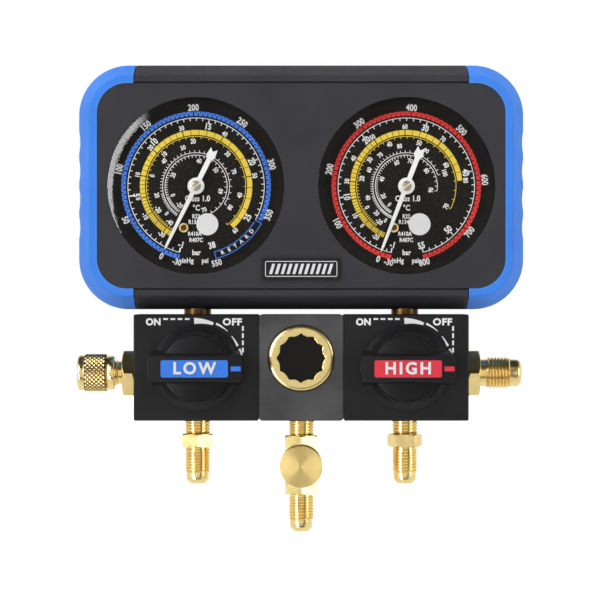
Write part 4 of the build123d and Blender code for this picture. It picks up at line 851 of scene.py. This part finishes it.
def dial_white(side, dial):
    """Figures, the scale in bar, the two small rings and the captions."""
    zero, vacuum, end = dial["zero"], dial["vacuum"], dial["end_angle"]
    degrees = dial["bar_angle"] / dial["bar_step"]
    bars = range(dial["bar_step"], dial["bar_last"] + 1, dial["bar_step"])
    line_end = min(zero + dial["bar_last"] * degrees, end) if dial["end_psi"] else end
    parts = [arc_strip(vacuum, line_end, BAR_LINE_INNER, BAR_LINE_OUTER)]
    minor_count = int((line_end - zero) / degrees / dial["minor_bar"] + 0.01)
    minor = [zero + i * dial["minor_bar"] * degrees for i in range(minor_count + 1)]
    parts.append(ticks(minor + [(zero + vacuum) / 2], BAR_LINE_INNER - 0.5, 1.1, 0.38))
    major = [zero + bar * degrees for bar in bars]
    parts.append(ticks(major + [vacuum, line_end], BAR_LINE_INNER - 0.85, 2.0, 0.58))
    psi_values = range(0, dial["psi_last"] + 1, dial["psi_step"])
    parts += figures(
        psi_values, lambda psi: zero + psi * dial["psi_angle"] / dial["psi_step"], PSI_FIGURE_R, PSI_FIGURE_H)
    parts.append(figure("-30", vacuum, PSI_FIGURE_R, END_FIGURE_H))
    parts.append(figure("-1", vacuum, BAR_FIGURE_R, BAR_FIGURE_H))
    parts += figures(bars, lambda bar: zero + bar * degrees, BAR_FIGURE_R, BAR_FIGURE_H)
    parts.append(figure(dial["end_bar"], end, BAR_FIGURE_R + 0.4, BAR_FIGURE_H))
    if dial["end_psi"]:
        parts.append(figure(dial["end_psi"], end, PSI_FIGURE_R + 0.6, END_FIGURE_H))
        for index, letter in enumerate(BOX_WORD):
            place = round_place(BOX_WORD_START + BOX_LETTER_STEP * index, BOX_WORD_R, upright=True)
            parts.append(moved(lettering(letter, BOX_LETTER_H, 1.0), place))
    parts += temperature_figures(dial, "yellow", YELLOW_FIGURE_R, YELLOW_FIGURE_H)
    parts += temperature_figures(dial, "thin", THIN_FIGURE_R, YELLOW_FIGURE_H)
    for key, radius, tick_side, figure_radius in (
        ("ring_out", RING_OUTER_R, 0.55, RING_OUTER_FIGURE_R),
        ("ring_in", RING_INNER_R, -0.55, RING_INNER_FIGURE_R),
    ):
        parts.append(fine_circle(dial[key], radius))
        parts.append(ticks(division_angles(dial[key]), radius + tick_side, 1.0, TICK_W))
        parts += temperature_figures(dial, key, figure_radius, RING_FIGURE_H)
    parts += [moved(lettering(words, height, 0.82), at(x, z)) for words, x, z, height in CAPTIONS]
    print_on_dial(parts, "white", side, PRINT_WHITE_SHADED)


def dial_band(side, dial, material):
    """The coloured pressure band, and the outlined box past the end of the low scale."""
    parts = [arc_strip(dial["vacuum"] - 1.0, dial["band_end"], BAND_INNER, BAND_OUTER)]
    if dial["end_psi"]:
        for radius in (BOX_INNER, BOX_OUTER):
            parts.append(arc_strip(BOX_START, BOX_END, radius - BOX_LINE / 2, radius + BOX_LINE / 2))
        height = BOX_OUTER - BOX_INNER + BOX_LINE
        parts.append(ticks([BOX_START, BOX_END], (BOX_INNER + BOX_OUTER) / 2, height, BOX_LINE))
    print_on_dial(parts, "band", side, material)


def dial_band_marks(side, dial, material):
    """Darker marks across the coloured band: long at each figure, short between."""
    zero, degrees, end = dial["zero"], dial["psi_angle"] / dial["psi_marks"], dial["band_end"]
    count = int((end - dial["vacuum"]) / degrees)
    middle = (BAND_INNER + BAND_OUTER) / 2
    at_marks = [zero + i * degrees for i in range(-3, count)]
    between = [zero + (i + 0.5) * degrees for i in range(count)]
    at_figures = [zero + i * dial["psi_angle"] for i in range(dial["psi_last"] // dial["psi_step"] + 1)]
    parts = [
        ticks([a for a in at_marks if dial["vacuum"] < a < end], middle - 0.35, 1.2, 0.42, RAISED_T),
        ticks([a for a in between if a < end], middle + 0.6, 0.7, 0.36, RAISED_T),
        ticks([a for a in at_figures if a < end], middle, BAND_OUTER - BAND_INNER, 0.5, RAISED_T),
    ]
    print_on_dial(parts, "marks", side, material)


def dial_yellow(side, dial):
    """The yellow temperature band and the fine scale inside it."""
    band, thin = dial["yellow"], dial["thin"]
    parts = [
        arc_strip(min(band.values()), max(band.values()), YELLOW_INNER, YELLOW_OUTER),
        fine_circle(thin, THIN_LINE_R),
        ticks(division_angles(thin), THIN_LINE_R - 0.5, 0.9, TICK_W),
    ]
    print_on_dial(parts, "yellow", side, PRINT_YELLOW)


def dial_yellow_marks(side, dial):
    """Black divisions across the yellow band, wider at every ten degrees."""
    scale, middle, width = dial["yellow"], (YELLOW_INNER + YELLOW_OUTER) / 2, YELLOW_OUTER - YELLOW_INNER
    tens = [angle for angle in division_angles(scale, 10) if angle < max(scale.values()) - 1]
    parts = [
        ticks(division_angles(scale), middle, width, 0.22, RAISED_T),
        ticks(tens, middle, width, 0.42, RAISED_T),
    ]
    print_on_dial(parts, "divisions", side, PRINT_BLACK)


for side, dial, band, band_marks in (
    ("low", LOW_DIAL, PRINT_BLUE, PRINT_BLUE_DARK), ("high", HIGH_DIAL, PRINT_RED, PRINT_RED_DARK),
):
    dial_white(side, dial)
    dial_band(side, dial, band)
    dial_band_marks(side, dial, band_marks)
    dial_yellow(side, dial)
    dial_yellow_marks(side, dial)


# ---------------------------------------------------------------- print on the valve blocks, and the knobs

WORD_H = 2.8                  # height of ON and OFF
KNOB_WORD_H, KNOB_WORD_T = 4.8, 0.25
DASH_L, DASH_W, DASH_STEP = 2.0, 0.75, 3.05
KNOB_R = 19.8
SKIRT_FOOT_R = 11.6
BAR_FOOT, BAR_TOP = 1.9, 17.35
BAR_FOOT_W, BAR_TOP_W = 14.6, 10.6

# Dashes of the arrow from ON to OFF: start and end in degrees, then the inner and outer radius at each
TRAVEL_ARC = (
    (-2.4, 21.5, 18.45, 21.1, 19.35, 20.5),
    (24.5, 41.0, 20.0, 20.95, 20.3, 20.5),
    (48.5, 62.5, 20.0, 20.3, 19.25, 20.4),
    (66.5, 74.5, 19.5, 20.4, 19.7, 20.5),
)
# Radius and height of the knob's flared skirt, of the groove round its face, and of the face
KNOB_OUTLINE = (
    (SKIRT_FOOT_R, 6.8), (SKIRT_FOOT_R, 0.0), (18.3, 0.0), (18.3, 1.6), (17.9, 1.95), (16.4, 3.0),
    (15.4, 4.6), (14.9, 6.8), (14.8, 9.1), (14.6, 9.4), (14.35, 9.4), (14.25, 8.7), (13.95, 8.7), (13.85, 9.25),
    (13.6, 9.4), (CENTRE, 9.4),
)


def block_print(side):
    """ON, OFF and the dashed arrow between them, round the valve's knob."""
    parts = [
        moved(lettering("ON", WORD_H, 0.98, weight=0.06), at(-18.1, 19.25)),
        moved(lettering("OFF", WORD_H, 1.08, spacing=1.12, weight=0.06), at(15.3, 19.25)),
        copies(dash(DASH_L, DASH_W), [at(-12.9 + DASH_STEP * i, 20.6) for i in range(4)]),
        copies(dash(DASH_W, DASH_L), [at(19.8, 16.6 - DASH_STEP * i) for i in range(4)]),
    ]
    parts += [arc_strip(*segment) for segment in TRAVEL_ARC]
    printed = moved(join(parts), front_place(SIDES[side] * HUB_X, BLOCK_FACE_Y, KNOB_Z))
    finish_piece(printed, f"block_print_{side}", BLOCK_WHITE, "manifold")


def knob_word(side, words):
    """A raised word on the knob's coloured insert."""
    letters = lettering(words, KNOB_WORD_H, 0.98, spacing=1.3, weight=0.05, thickness=KNOB_WORD_T)
    insert_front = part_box(f"knob_insert_{side}")[0].y / MM
    moved(letters, front_place(SIDES[side] * HUB_X, insert_front, KNOB_Z))
    finish_piece(letters, f"knob_word_{side}", CHROME, f"knob_{side}")


def knob_bar():
    """The bar across the knob: its top is narrower than its foot, and its ends follow a circle."""
    bpy.ops.mesh.primitive_cube_add(size=1.0)
    bar = bpy.context.object
    bar.scale = (2 * KNOB_R * MM, BAR_FOOT_W * MM, (BAR_TOP - BAR_FOOT) * MM)
    bar.location = (0.0, 0.0, (BAR_TOP + BAR_FOOT) / 2 * MM)
    keep_place(bar)
    bpy.ops.object.mode_set(mode="EDIT")
    mesh = bmesh.from_edit_mesh(bar.data)
    for face in mesh.faces:
        face.select_set(face.normal.z > 0.9)
    bmesh.update_edit_mesh(bar.data)
    narrower = BAR_TOP_W / BAR_FOOT_W
    bpy.ops.transform.resize(value=(1.0, narrower, 1.0), center_override=(0.0, 0.0, BAR_TOP * MM))
    bpy.ops.object.mode_set(mode="OBJECT")
    bpy.ops.mesh.primitive_cylinder_add(vertices=FINE_STEPS, radius=KNOB_R * MM, depth=60.0 * MM)
    cut(bar, bpy.context.object, "INTERSECT")
    break_edges(bar, 0.7, 3, 50.0)
    smooth(bar)
    return bar


def knob_body(side):
    """Knob: flared skirt, face set off by a groove, and a tapered bar right across."""
    knob = join([smooth_turn(KNOB_OUTLINE, FINE_STEPS), knob_bar()])
    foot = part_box(f"knob_{side}")[1].y / MM
    moved(knob, front_place(SIDES[side] * HUB_X, foot, KNOB_Z))
    finish_piece(knob, f"knob_body_{side}", KNOB, f"knob_{side}", [f"knob_{side}"])


for side, words in (("low", "LOW"), ("high", "HIGH")):
    block_print(side)
    knob_word(side, words)
    knob_body(side)


# ---------------------------------------------------------------- pointer caps and zero screws

POINTER_CAP_Y = -40.5
POINTER_SLOT_W, POINTER_SLOT_TURN = 0.6, 35.0
ZERO_SLOT_W, ZERO_SLOT_L, ZERO_SLOT_TURN = 0.5, 3.3, -40.0


def turned_by(piece, degrees):
    return moved(piece, Matrix.Rotation(math.radians(degrees), 4, "Z"))


def pointer_cap(side):
    """Brass disc in the middle of the pointer's hub, slotted right across."""
    cap = turn([(2.15, 0.0), (2.15, 0.06), (1.95, 0.16), (CENTRE, 0.16)], 48)
    bpy.ops.mesh.primitive_cube_add(size=1.0)
    slot = bpy.context.object
    slot.scale = (5.0 * MM, POINTER_SLOT_W * MM, 1.0 * MM)
    keep_place(slot)
    cut(cap, slot)
    smooth(cap)
    turned_by(cap, POINTER_SLOT_TURN)
    moved(cap, front_place(SIDES[side] * HUB_X, POINTER_CAP_Y, HUB_Z))
    finish_piece(cap, f"pointer_cap_{side}", BRASS_DULL, f"pointer_{side}")


def zero_slot(side):
    """Painted shade: a dark dash in the slot and a dark disc on the sunk middle of the zero-adjusting screw."""
    low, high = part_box(f"zero_screw_{side}")
    middle = turn([(1.25, 0.0), (1.25, 0.03), (CENTRE, 0.03)], 32)
    slot = turned_by(join([middle, dash(ZERO_SLOT_W, ZERO_SLOT_L, 0.05)]), ZERO_SLOT_TURN)
    head = (low + high) / 2 / MM
    moved(slot, front_place(head.x, low.y / MM, head.z))
    finish_piece(slot, f"zero_slot_{side}", BRASS_SHADED, f"zero_screw_{side}")


for side in SIDES:
    pointer_cap(side)
    zero_slot(side)


# ---------------------------------------------------------------- sight glass ring

SIGHT_Z = -106.8
RING_FACE_Y = -38.8
RING_H = 9.6
SOCKET_R, LOBE_R = 10.45, 9.1     # outer corners of the socket and tops of its lobes
SOCKET_CORNERS = 24
SOCKET_START, SOCKET_H = -1.0, 12.0


def twelve_point_socket():
    """A cutter whose inward corners are rounded into lobes."""
    bpy.ops.mesh.primitive_circle_add(
        vertices=SOCKET_CORNERS, radius=SOCKET_R * MM, fill_type="NGON", location=(0, 0, SOCKET_START * MM))
    socket = bpy.context.object
    keep_place(socket)
    for vertex in list(socket.data.vertices)[1::2]:
        vertex.co.x *= LOBE_R / SOCKET_R
        vertex.co.y *= LOBE_R / SOCKET_R
    thicken(socket, SOCKET_H)
    lobes = socket.modifiers.new("lobes", "BEVEL")
    lobes.width = 1.5 * MM
    lobes.segments = 4
    lobes.limit_method = "VGROUP"
    inner = socket.vertex_groups.new(name="lobes")
    middle = (SOCKET_R + LOBE_R) / 2 * MM
    corners = [v.index for v in socket.data.vertices if math.hypot(v.co.x, v.co.y) < middle]
    inner.add(corners, 1.0, "REPLACE")
    lobes.vertex_group = inner.name
    bpy.ops.object.modifier_apply(modifier=lobes.name)
    return socket


def sight_ring():
    """Brass ring nut: a turned ring with a rounded face and a twelve-point socket whose edges are broken."""
    ring = turn([
        (14.0, 0.0), (14.0, 8.55), (13.75, 9.0), (13.2, 9.35), (12.4, 9.55), (11.6, RING_H), (8.0, RING_H),
    ], FINE_STEPS)
    cut(ring, twelve_point_socket())
    break_edges(ring, 0.22, 2, 55.0)
    smooth(ring)
    moved(ring, front_place(0.0, RING_FACE_Y + RING_H, SIGHT_Z))
    finish_piece(ring, "sight_ring_nut", BRASS, "manifold", ["sight_ring"])


sight_ring()


# ---------------------------------------------------------------- badge

TRIM_T = 0.3                  # thickness of the trim, and width of its frame
TRIM_INSET = 1.3
TRIM_SUNK = 0.45
BAR_COUNT, BAR_STEP, BAR_SLANT = 11, 2.45, 0.3
BAR_W, BAR_H = 1.25, 4.3


def badge_trim():
    """A chromed frame and a row of slanted chromed bars in the recess of the bare plate."""
    low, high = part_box("badge_plate")
    plate = (high - low) / MM
    width, height = plate.x - 2 * TRIM_INSET, plate.z - 2 * TRIM_INSET
    top, side = (height - TRIM_T) / 2, (width - TRIM_T) / 2
    slant = Matrix(((1, BAR_SLANT, 0, 0), (0, 1, 0, 0), (0, 0, 1, 0), (0, 0, 0, 1)))
    places = [at((i - BAR_COUNT // 2) * BAR_STEP, 0.0) @ slant for i in range(BAR_COUNT)]
    trim = join([
        copies(dash(width, TRIM_T, TRIM_T), [at(0.0, -top), at(0.0, top)]),
        copies(dash(TRIM_T, height, TRIM_T), [at(-side, 0.0), at(side, 0.0)]),
        copies(dash(BAR_W, BAR_H, TRIM_T), places),
    ])
    middle = (low + high) / 2 / MM
    moved(trim, front_place(middle.x, low.y / MM + TRIM_SUNK, middle.z))
    finish_piece(trim, "badge_trim", CHROME, "manifold")


badge_trim()


# ---------------------------------------------------------------- turned brass fittings

FLARE_R, FLARE_ROOT, FLARE_NOSE_R, FLARE_TIP_R, FLARE_BORE_R = 5.555, 4.95, 4.9, 3.2, 2.4
FLARE_PITCH = 1.27
HOSE_NECK_L, HOSE_HEX_L, HOSE_HEX_AF = 6.2, 5.7, 13.0
TEE_NECK_L, TEE_HEX_L, TEE_HEX_AF = 6.85, 25.35, 14.0
TEE_DRILL_R, TEE_DRILL_L, TEE_DRILL_Y = 2.35, 6.0, -7.6
SIDE_HEX_L, SIDE_HEX_AF = 5.6, 19.0
OUTLET_R, OUTLET_ROOT, OUTLET_PITCH = 6.75, 6.0, 1.41
OUTLET_THREAD = (-18.6, -8.3)     # heights at which the outlet's thread ends and starts
FRONT_THREAD = (9.8, 15.1)        # distances from the pipe's axis of the ends of the front port's thread

# Radius and distance from the pipe's axis of the tee's front port, down to the bottom of its bore
FRONT_PORT = (
    (6.3, 0.0), (6.3, 9.1), (6.0, 9.4), (FLARE_ROOT, 9.4), (FLARE_ROOT, 15.0), (FLARE_TIP_R + 0.4, 16.6),
    (FLARE_TIP_R, 16.8), (2.3, 16.8), (2.3, 4.7),
)
# Radius and height of the larger outlet behind its hexagon: neck, thread's core and rounded nose
OUTLET = (
    (5.8, -5.4), (5.8, -8.3), (5.95, -8.3), (5.95, -18.7), (5.85, -18.9), (5.85, -21.4), (5.6, -22.2),
    (5.15, -22.8), (4.3, -23.35), (3.45, -23.6), (2.4, -23.6), (2.4, -15.0),
)


def flare_port(top, relief, thread_length, nose):
    """A flare port downward from z = top: relief groove, thread, nose and bored 45 degree seat."""
    thread_top = top - relief
    thread_end = thread_top - thread_length
    tip = thread_end - nose
    seat = FLARE_NOSE_R - FLARE_TIP_R
    core = smooth_turn([
        (FLARE_ROOT, top + 0.2), (FLARE_ROOT, thread_end - 0.3), (FLARE_NOSE_R, thread_end - 0.8),
        (FLARE_NOSE_R, tip + seat + 0.25), (FLARE_NOSE_R - 0.15, tip + seat), (FLARE_TIP_R + 0.15, tip + 0.1),
        (FLARE_TIP_R - 0.1, tip), (FLARE_BORE_R, tip), (FLARE_BORE_R, tip + 8.0),
    ])
    return [core, thread(FLARE_R, FLARE_ROOT, FLARE_PITCH, thread_end, thread_top)]


def threaded_neck(top, length):
    core = smooth_turn([(FLARE_ROOT, top + 1.0), (FLARE_ROOT, top - length)])
    return [core, thread(FLARE_R, FLARE_ROOT, FLARE_PITCH, top - length, top)]


def hose_fitting(side, hex_turn):
    """Hose port under a valve: threaded neck, hexagon and flare end."""
    hex_top = BLOCK_FOOT_Z - HOSE_NECK_L
    hex_end = hex_top - HOSE_HEX_L
    nut = hexagon(HOSE_HEX_AF, hex_end, hex_top, hex_turn)
    fitting = join([*threaded_neck(BLOCK_FOOT_Z, HOSE_NECK_L), nut, *flare_port(hex_end, 0.5, 10.4, 4.8)])
    moved(fitting, at(SIDES[side] * HUB_X, PIPE_Y))
    finish_piece(fitting, f"hose_port_{side}", BRASS, "manifold", [f"hose_fitting_{side}"])


def service_tee():
    """Centre hose port with a second port on the front of its long hexagon."""
    hex_top = BLOCK_FOOT_Z - TEE_NECK_L
    hex_end = hex_top - TEE_HEX_L
    bar = hexagon(TEE_HEX_AF, hex_end, hex_top)
    bpy.ops.mesh.primitive_cylinder_add(
        vertices=48, radius=TEE_DRILL_R * MM, depth=TEE_DRILL_L * MM,
        location=(0, TEE_DRILL_Y * MM, SERVICE_Z * MM), rotation=(math.radians(90.0), 0, 0),
    )
    cut(bar, bpy.context.object)
    upright = join([*threaded_neck(BLOCK_FOOT_Z, TEE_NECK_L), bar, *flare_port(hex_end, 0.6, 10.2, 5.1)])
    moved(upright, at(0.0, PIPE_Y))
    front = join([smooth_turn(FRONT_PORT), thread(FLARE_R, FLARE_ROOT, FLARE_PITCH, *FRONT_THREAD)])
    moved(front, front_place(0.0, PIPE_Y, SERVICE_Z))
    finish_piece(join([upright, front]), "service_tee_port", BRASS, "manifold", ["service_tee"])


def to_side(piece, side):
    """Turns a piece made downward from z = 0 to point outward from the block's side."""
    turn_out = Matrix.Rotation(math.radians(-90.0 * SIDES[side]), 4, "Y")
    return moved(piece, at(SIDES[side] * BLOCK_SIDE_X, PIPE_Y, SIDE_PORT_Z) @ turn_out)


def left_port():
    parts = [hexagon(SIDE_HEX_AF, -SIDE_HEX_L, 0.0), *flare_port(-SIDE_HEX_L, 1.8, 9.4, 3.0)]
    port = to_side(join(parts), "low")
    finish_piece(port, "side_port_left", BRASS, "manifold", ["side_fitting_left"])


def right_port():
    """Larger outlet with a rounded nose."""
    parts = [
        hexagon(SIDE_HEX_AF, -SIDE_HEX_L, 0.0), smooth_turn(OUTLET, angle=ROUNDED_ANGLE),
        thread(OUTLET_R, OUTLET_ROOT, OUTLET_PITCH, *OUTLET_THREAD),
    ]
    port = to_side(join(parts), "high")
    finish_piece(port, "side_port_right", BRASS, "manifold", ["side_fitting_right"])


hose_fitting("low", 0.0)
hose_fitting("high", 90.0)
service_tee()
left_port()
right_port()


# ---------------------------------------------------------------- caps

KNURL_SIDES, KNURL_ROWS = 26, 5
KNURL_ROOT, KNURL_CREST = 7.75, 8.25
KNURL_START, KNURL_END = 3.3, 12.9    # distances past the side cap's mouth
CAP_MOUTH = 9.1               # distance of the side cap's mouth from the block

# Radius and distance past the mouth of the side cap: inside, plain rim, knurl's core and rounded end
SIDE_CAP = (
    (5.7, 9.5), (5.7, 0.0), (7.1, 0.0), (7.35, 0.25), (7.35, 2.6), (7.1, 2.9), (7.65, 3.5), (7.65, KNURL_END),
    (7.5, 13.1), (7.55, 13.3), (7.55, 14.7), (7.35, 15.3), (6.9, 15.7), (6.1, 15.9), (CENTRE, 15.9),
)
# Radius and distance from the pipe's axis of the service cap: inside, rim, groove, face, cone and centre mark
SERVICE_CAP = (
    (5.7, 17.6), (5.7, 9.8), (8.8, 9.8), (9.1, 10.1), (9.1, 12.6), (8.85, 12.8), (8.85, 13.2), (9.1, 13.4),
    (9.1, 19.3), (8.6, 19.85), (8.2, 19.85), (0.7, 19.6), (0.5, 19.4), (CENTRE, 19.3),
)


def diamond_knurl(root, crest, low, high):
    """A sleeve of points: a tube's cells are poked, their edges dissolved and the diamonds poked outward."""
    length = high - low
    bpy.ops.mesh.primitive_cylinder_add(
        vertices=KNURL_SIDES, radius=root * MM, depth=length * MM, end_fill_type="NOTHING",
        location=(0, 0, (low + high) / 2 * MM),
    )
    sleeve = bpy.context.object
    keep_place(sleeve)
    bpy.ops.object.mode_set(mode="EDIT")
    for row in range(1, KNURL_ROWS):
        bpy.ops.mesh.select_all(action="SELECT")
        height = low + length * row / KNURL_ROWS
        bpy.ops.mesh.bisect(plane_co=(0, 0, height * MM), plane_no=(0, 0, 1))
    bpy.ops.mesh.select_all(action="SELECT")
    mesh = bmesh.from_edit_mesh(sleeve.data)
    old_edges = {edge.index for edge in mesh.edges}
    bpy.ops.mesh.poke(center_mode="MEDIAN")
    mesh = bmesh.from_edit_mesh(sleeve.data)
    for face in mesh.faces:
        face.select_set(False)
    for edge in mesh.edges:
        edge.select_set(edge.index in old_edges and not edge.is_boundary)
    bmesh.update_edit_mesh(sleeve.data)
    bpy.ops.mesh.select_mode(type="EDGE")
    bpy.ops.mesh.dissolve_edges(use_verts=False)
    bpy.ops.mesh.select_mode(type="FACE")
    mesh = bmesh.from_edit_mesh(sleeve.data)
    for vertex in mesh.verts:
        reach = math.hypot(vertex.co.x, vertex.co.y)
        vertex.co.x *= root * MM / reach
        vertex.co.y *= root * MM / reach
    for face in mesh.faces:
        face.select_set(len(face.verts) == 4)
    bmesh.update_edit_mesh(sleeve.data)
    bpy.ops.mesh.poke(offset=(crest - root) * MM, center_mode="MEDIAN")
    bpy.ops.mesh.select_mode(type="VERT")
    bpy.ops.object.mode_set(mode="OBJECT")
    bpy.ops.object.shade_flat()
    return sleeve


def knurled_cap():
    """Side cap: plain rim, diamond knurl and a rounded end."""
    body = smooth_turn([(radius, -CAP_MOUTH - past) for radius, past in SIDE_CAP], angle=ROUNDED_ANGLE)
    knurl = diamond_knurl(KNURL_ROOT, KNURL_CREST, -CAP_MOUTH - KNURL_END, -CAP_MOUTH - KNURL_START)
    finish_piece(to_side(knurl, "low"), "side_cap_knurl", BRASS_KNURL, "side_cap")
    finish_piece(to_side(body, "low"), "side_cap_body", BRASS, "side_cap", ["side_cap"])


def turned_cap():
    """Front cap: a plain round cap with a turned face, a shallow cone and a centre mark."""
    cap = moved(smooth_turn(SERVICE_CAP, FINE_STEPS), front_place(0.0, PIPE_Y, SERVICE_Z))
    finish_piece(cap, "service_cap_turned", BRASS_TURNED, "service_cap", ["service_cap"])


knurled_cap()
turned_cap()


# ---------------------------------------------------------------- camera, lights and floor

CAMERA_PLACE = (-0.5, -1052.2, -82.2)
CAMERA_LENS = 143.7
FLOOR_Z = -200.0
WHITE = (1.0, 1.0, 1.0, 1.0)
LIGHT_LEVEL = 0.5             # brightness of the room, as it lights plain surfaces
ROOM_LEVEL = 0.85             # brightness of the room in front, as metal and glass show it
CEILING_LEVEL = 0.04          # brightness of the dark ceiling, as metal and glass show it
GAP_LEVEL = 0.2               # brightness of the unlit gap between the front and the sides of the room
REFLECTOR_LEVEL = 14.0        # brightness of the reflector that draws the crescent on the left gauge
LAMP_AIM = (0.0, -0.02, -0.08)

# Name, place, width and height in metres, power in watts, and whether metal and glass show it
SOFTBOXES = (
    ("key softbox", (-1.15, -0.75, 0.5), 0.5, 1.0, 7.0, True),
    ("fill softbox", (1.2, -0.7, 0.1), 0.5, 1.0, 4.0, True),
    ("top softbox", (0.0, -0.35, 1.0), 1.0, 0.4, 6.0, False),
)


def set_camera():
    data = bpy.data.cameras.new("camera")
    data.sensor_width = 36.0
    data.lens = CAMERA_LENS
    data.clip_start = 0.05
    data.clip_end = 20.0
    camera = bpy.data.objects.new("camera", data)
    bpy.context.scene.collection.objects.link(camera)
    camera.location = [value * MM for value in CAMERA_PLACE]
    camera.rotation_euler = (math.radians(90.0), 0.0, 0.0)
    bpy.context.scene.camera = camera


def softbox(name, place, width, height, power, shown):
    data = bpy.data.lights.new(name, "AREA")
    data.shape = "RECTANGLE"
    data.size = width
    data.size_y = height
    data.energy = power
    lamp = bpy.data.objects.new(name, data)
    bpy.context.scene.collection.objects.link(lamp)
    lamp.location = place
    lamp.rotation_euler = (Vector(LAMP_AIM) - Vector(place)).to_track_quat("-Z", "Y").to_euler()
    lamp.visible_glossy = shown


def set_world():
    """Soft studio light all round, and a pale backdrop that the camera, metal and glass see."""
    world = bpy.data.worlds.new("studio")
    world.use_nodes = True
    tree = world.node_tree
    light = tree.nodes["Background"]
    light.inputs["Color"].default_value = WHITE
    light.inputs["Strength"].default_value = LIGHT_LEVEL
    towards = tree.nodes.new("ShaderNodeTexCoord").outputs["Generated"]
    direction = add(tree, "ShaderNodeSeparateXYZ", Vector=towards).outputs
    forward = agreement(tree, towards, (0.0, -1.0, 0.0))

    def around_front(first, last, to_first=0.0, to_last=1.0):
        """A ramp between two angles, in degrees, off the direction that points to the front."""
        cosines = [math.cos(math.radians(angle)) for angle in (first, last)]
        return ramp(tree, forward, *cosines, to_first, to_last)

    front_to_back = ramp(tree, direction["Y"], -0.6, 0.1, ROOM_LEVEL, 1.0)
    ceiling = ramp(tree, direction["Z"], 0.35, 0.8, 1.0, CEILING_LEVEL)
    in_gap = product(tree, around_front(31.0, 27.0, 1.0, 0.0), around_front(47.0, 43.0))
    room = product(tree, front_to_back, ceiling, ramp(tree, in_gap, 0.0, 1.0, 1.0, GAP_LEVEL))
    # A curved reflector round the front's left, between about 38 and 47 degrees
    left_only = ramp(tree, direction["X"], -0.36, -0.46)
    reflector = product(tree, around_front(38.3, 38.8), around_front(50.0, 44.0), left_only, REFLECTOR_LEVEL)
    shown = arithmetic(tree, "ADD", room, reflector)
    straight = any_ray(tree, "Camera", "Transmission")
    level = arithmetic(tree, "MAXIMUM", shown, straight)
    backdrop = add(tree, "ShaderNodeBackground", Color=WHITE, Strength=level)
    seen = any_ray(tree, "Camera", "Transmission", "Glossy")
    show_either(tree, seen, light.outputs["Background"], backdrop.outputs["Background"], "World Output")
    bpy.context.scene.world = world


def set_floor():
    """A pale floor under the object that shows as white and keeps the object's soft shadow."""
    bpy.ops.mesh.primitive_plane_add(size=6.0, location=(0.0, 0.0, FLOOR_Z * MM))
    floor = bpy.context.object
    floor.name = "floor"
    material, tree, shader = new_material("floor pale")
    shader.inputs["Base Color"].default_value = (0.9, 0.9, 0.9, 1.0)
    shader.inputs["Roughness"].default_value = 0.9
    shader.inputs["Emission Color"].default_value = WHITE
    feed(tree, shader.inputs["Emission Strength"], any_ray(tree, "Camera", "Transmission"))
    unseen = tree.nodes.new("ShaderNodeBsdfTransparent")
    show_either(
        tree, any_ray(tree, "Glossy"), shader.outputs["BSDF"], unseen.outputs["BSDF"], "Material Output")
    floor.data.materials.append(material)


set_camera()
set_world()
set_floor()
for lamp in SOFTBOXES:
    softbox(*lamp)

bpy.context.scene.view_settings.view_transform = "Standard"
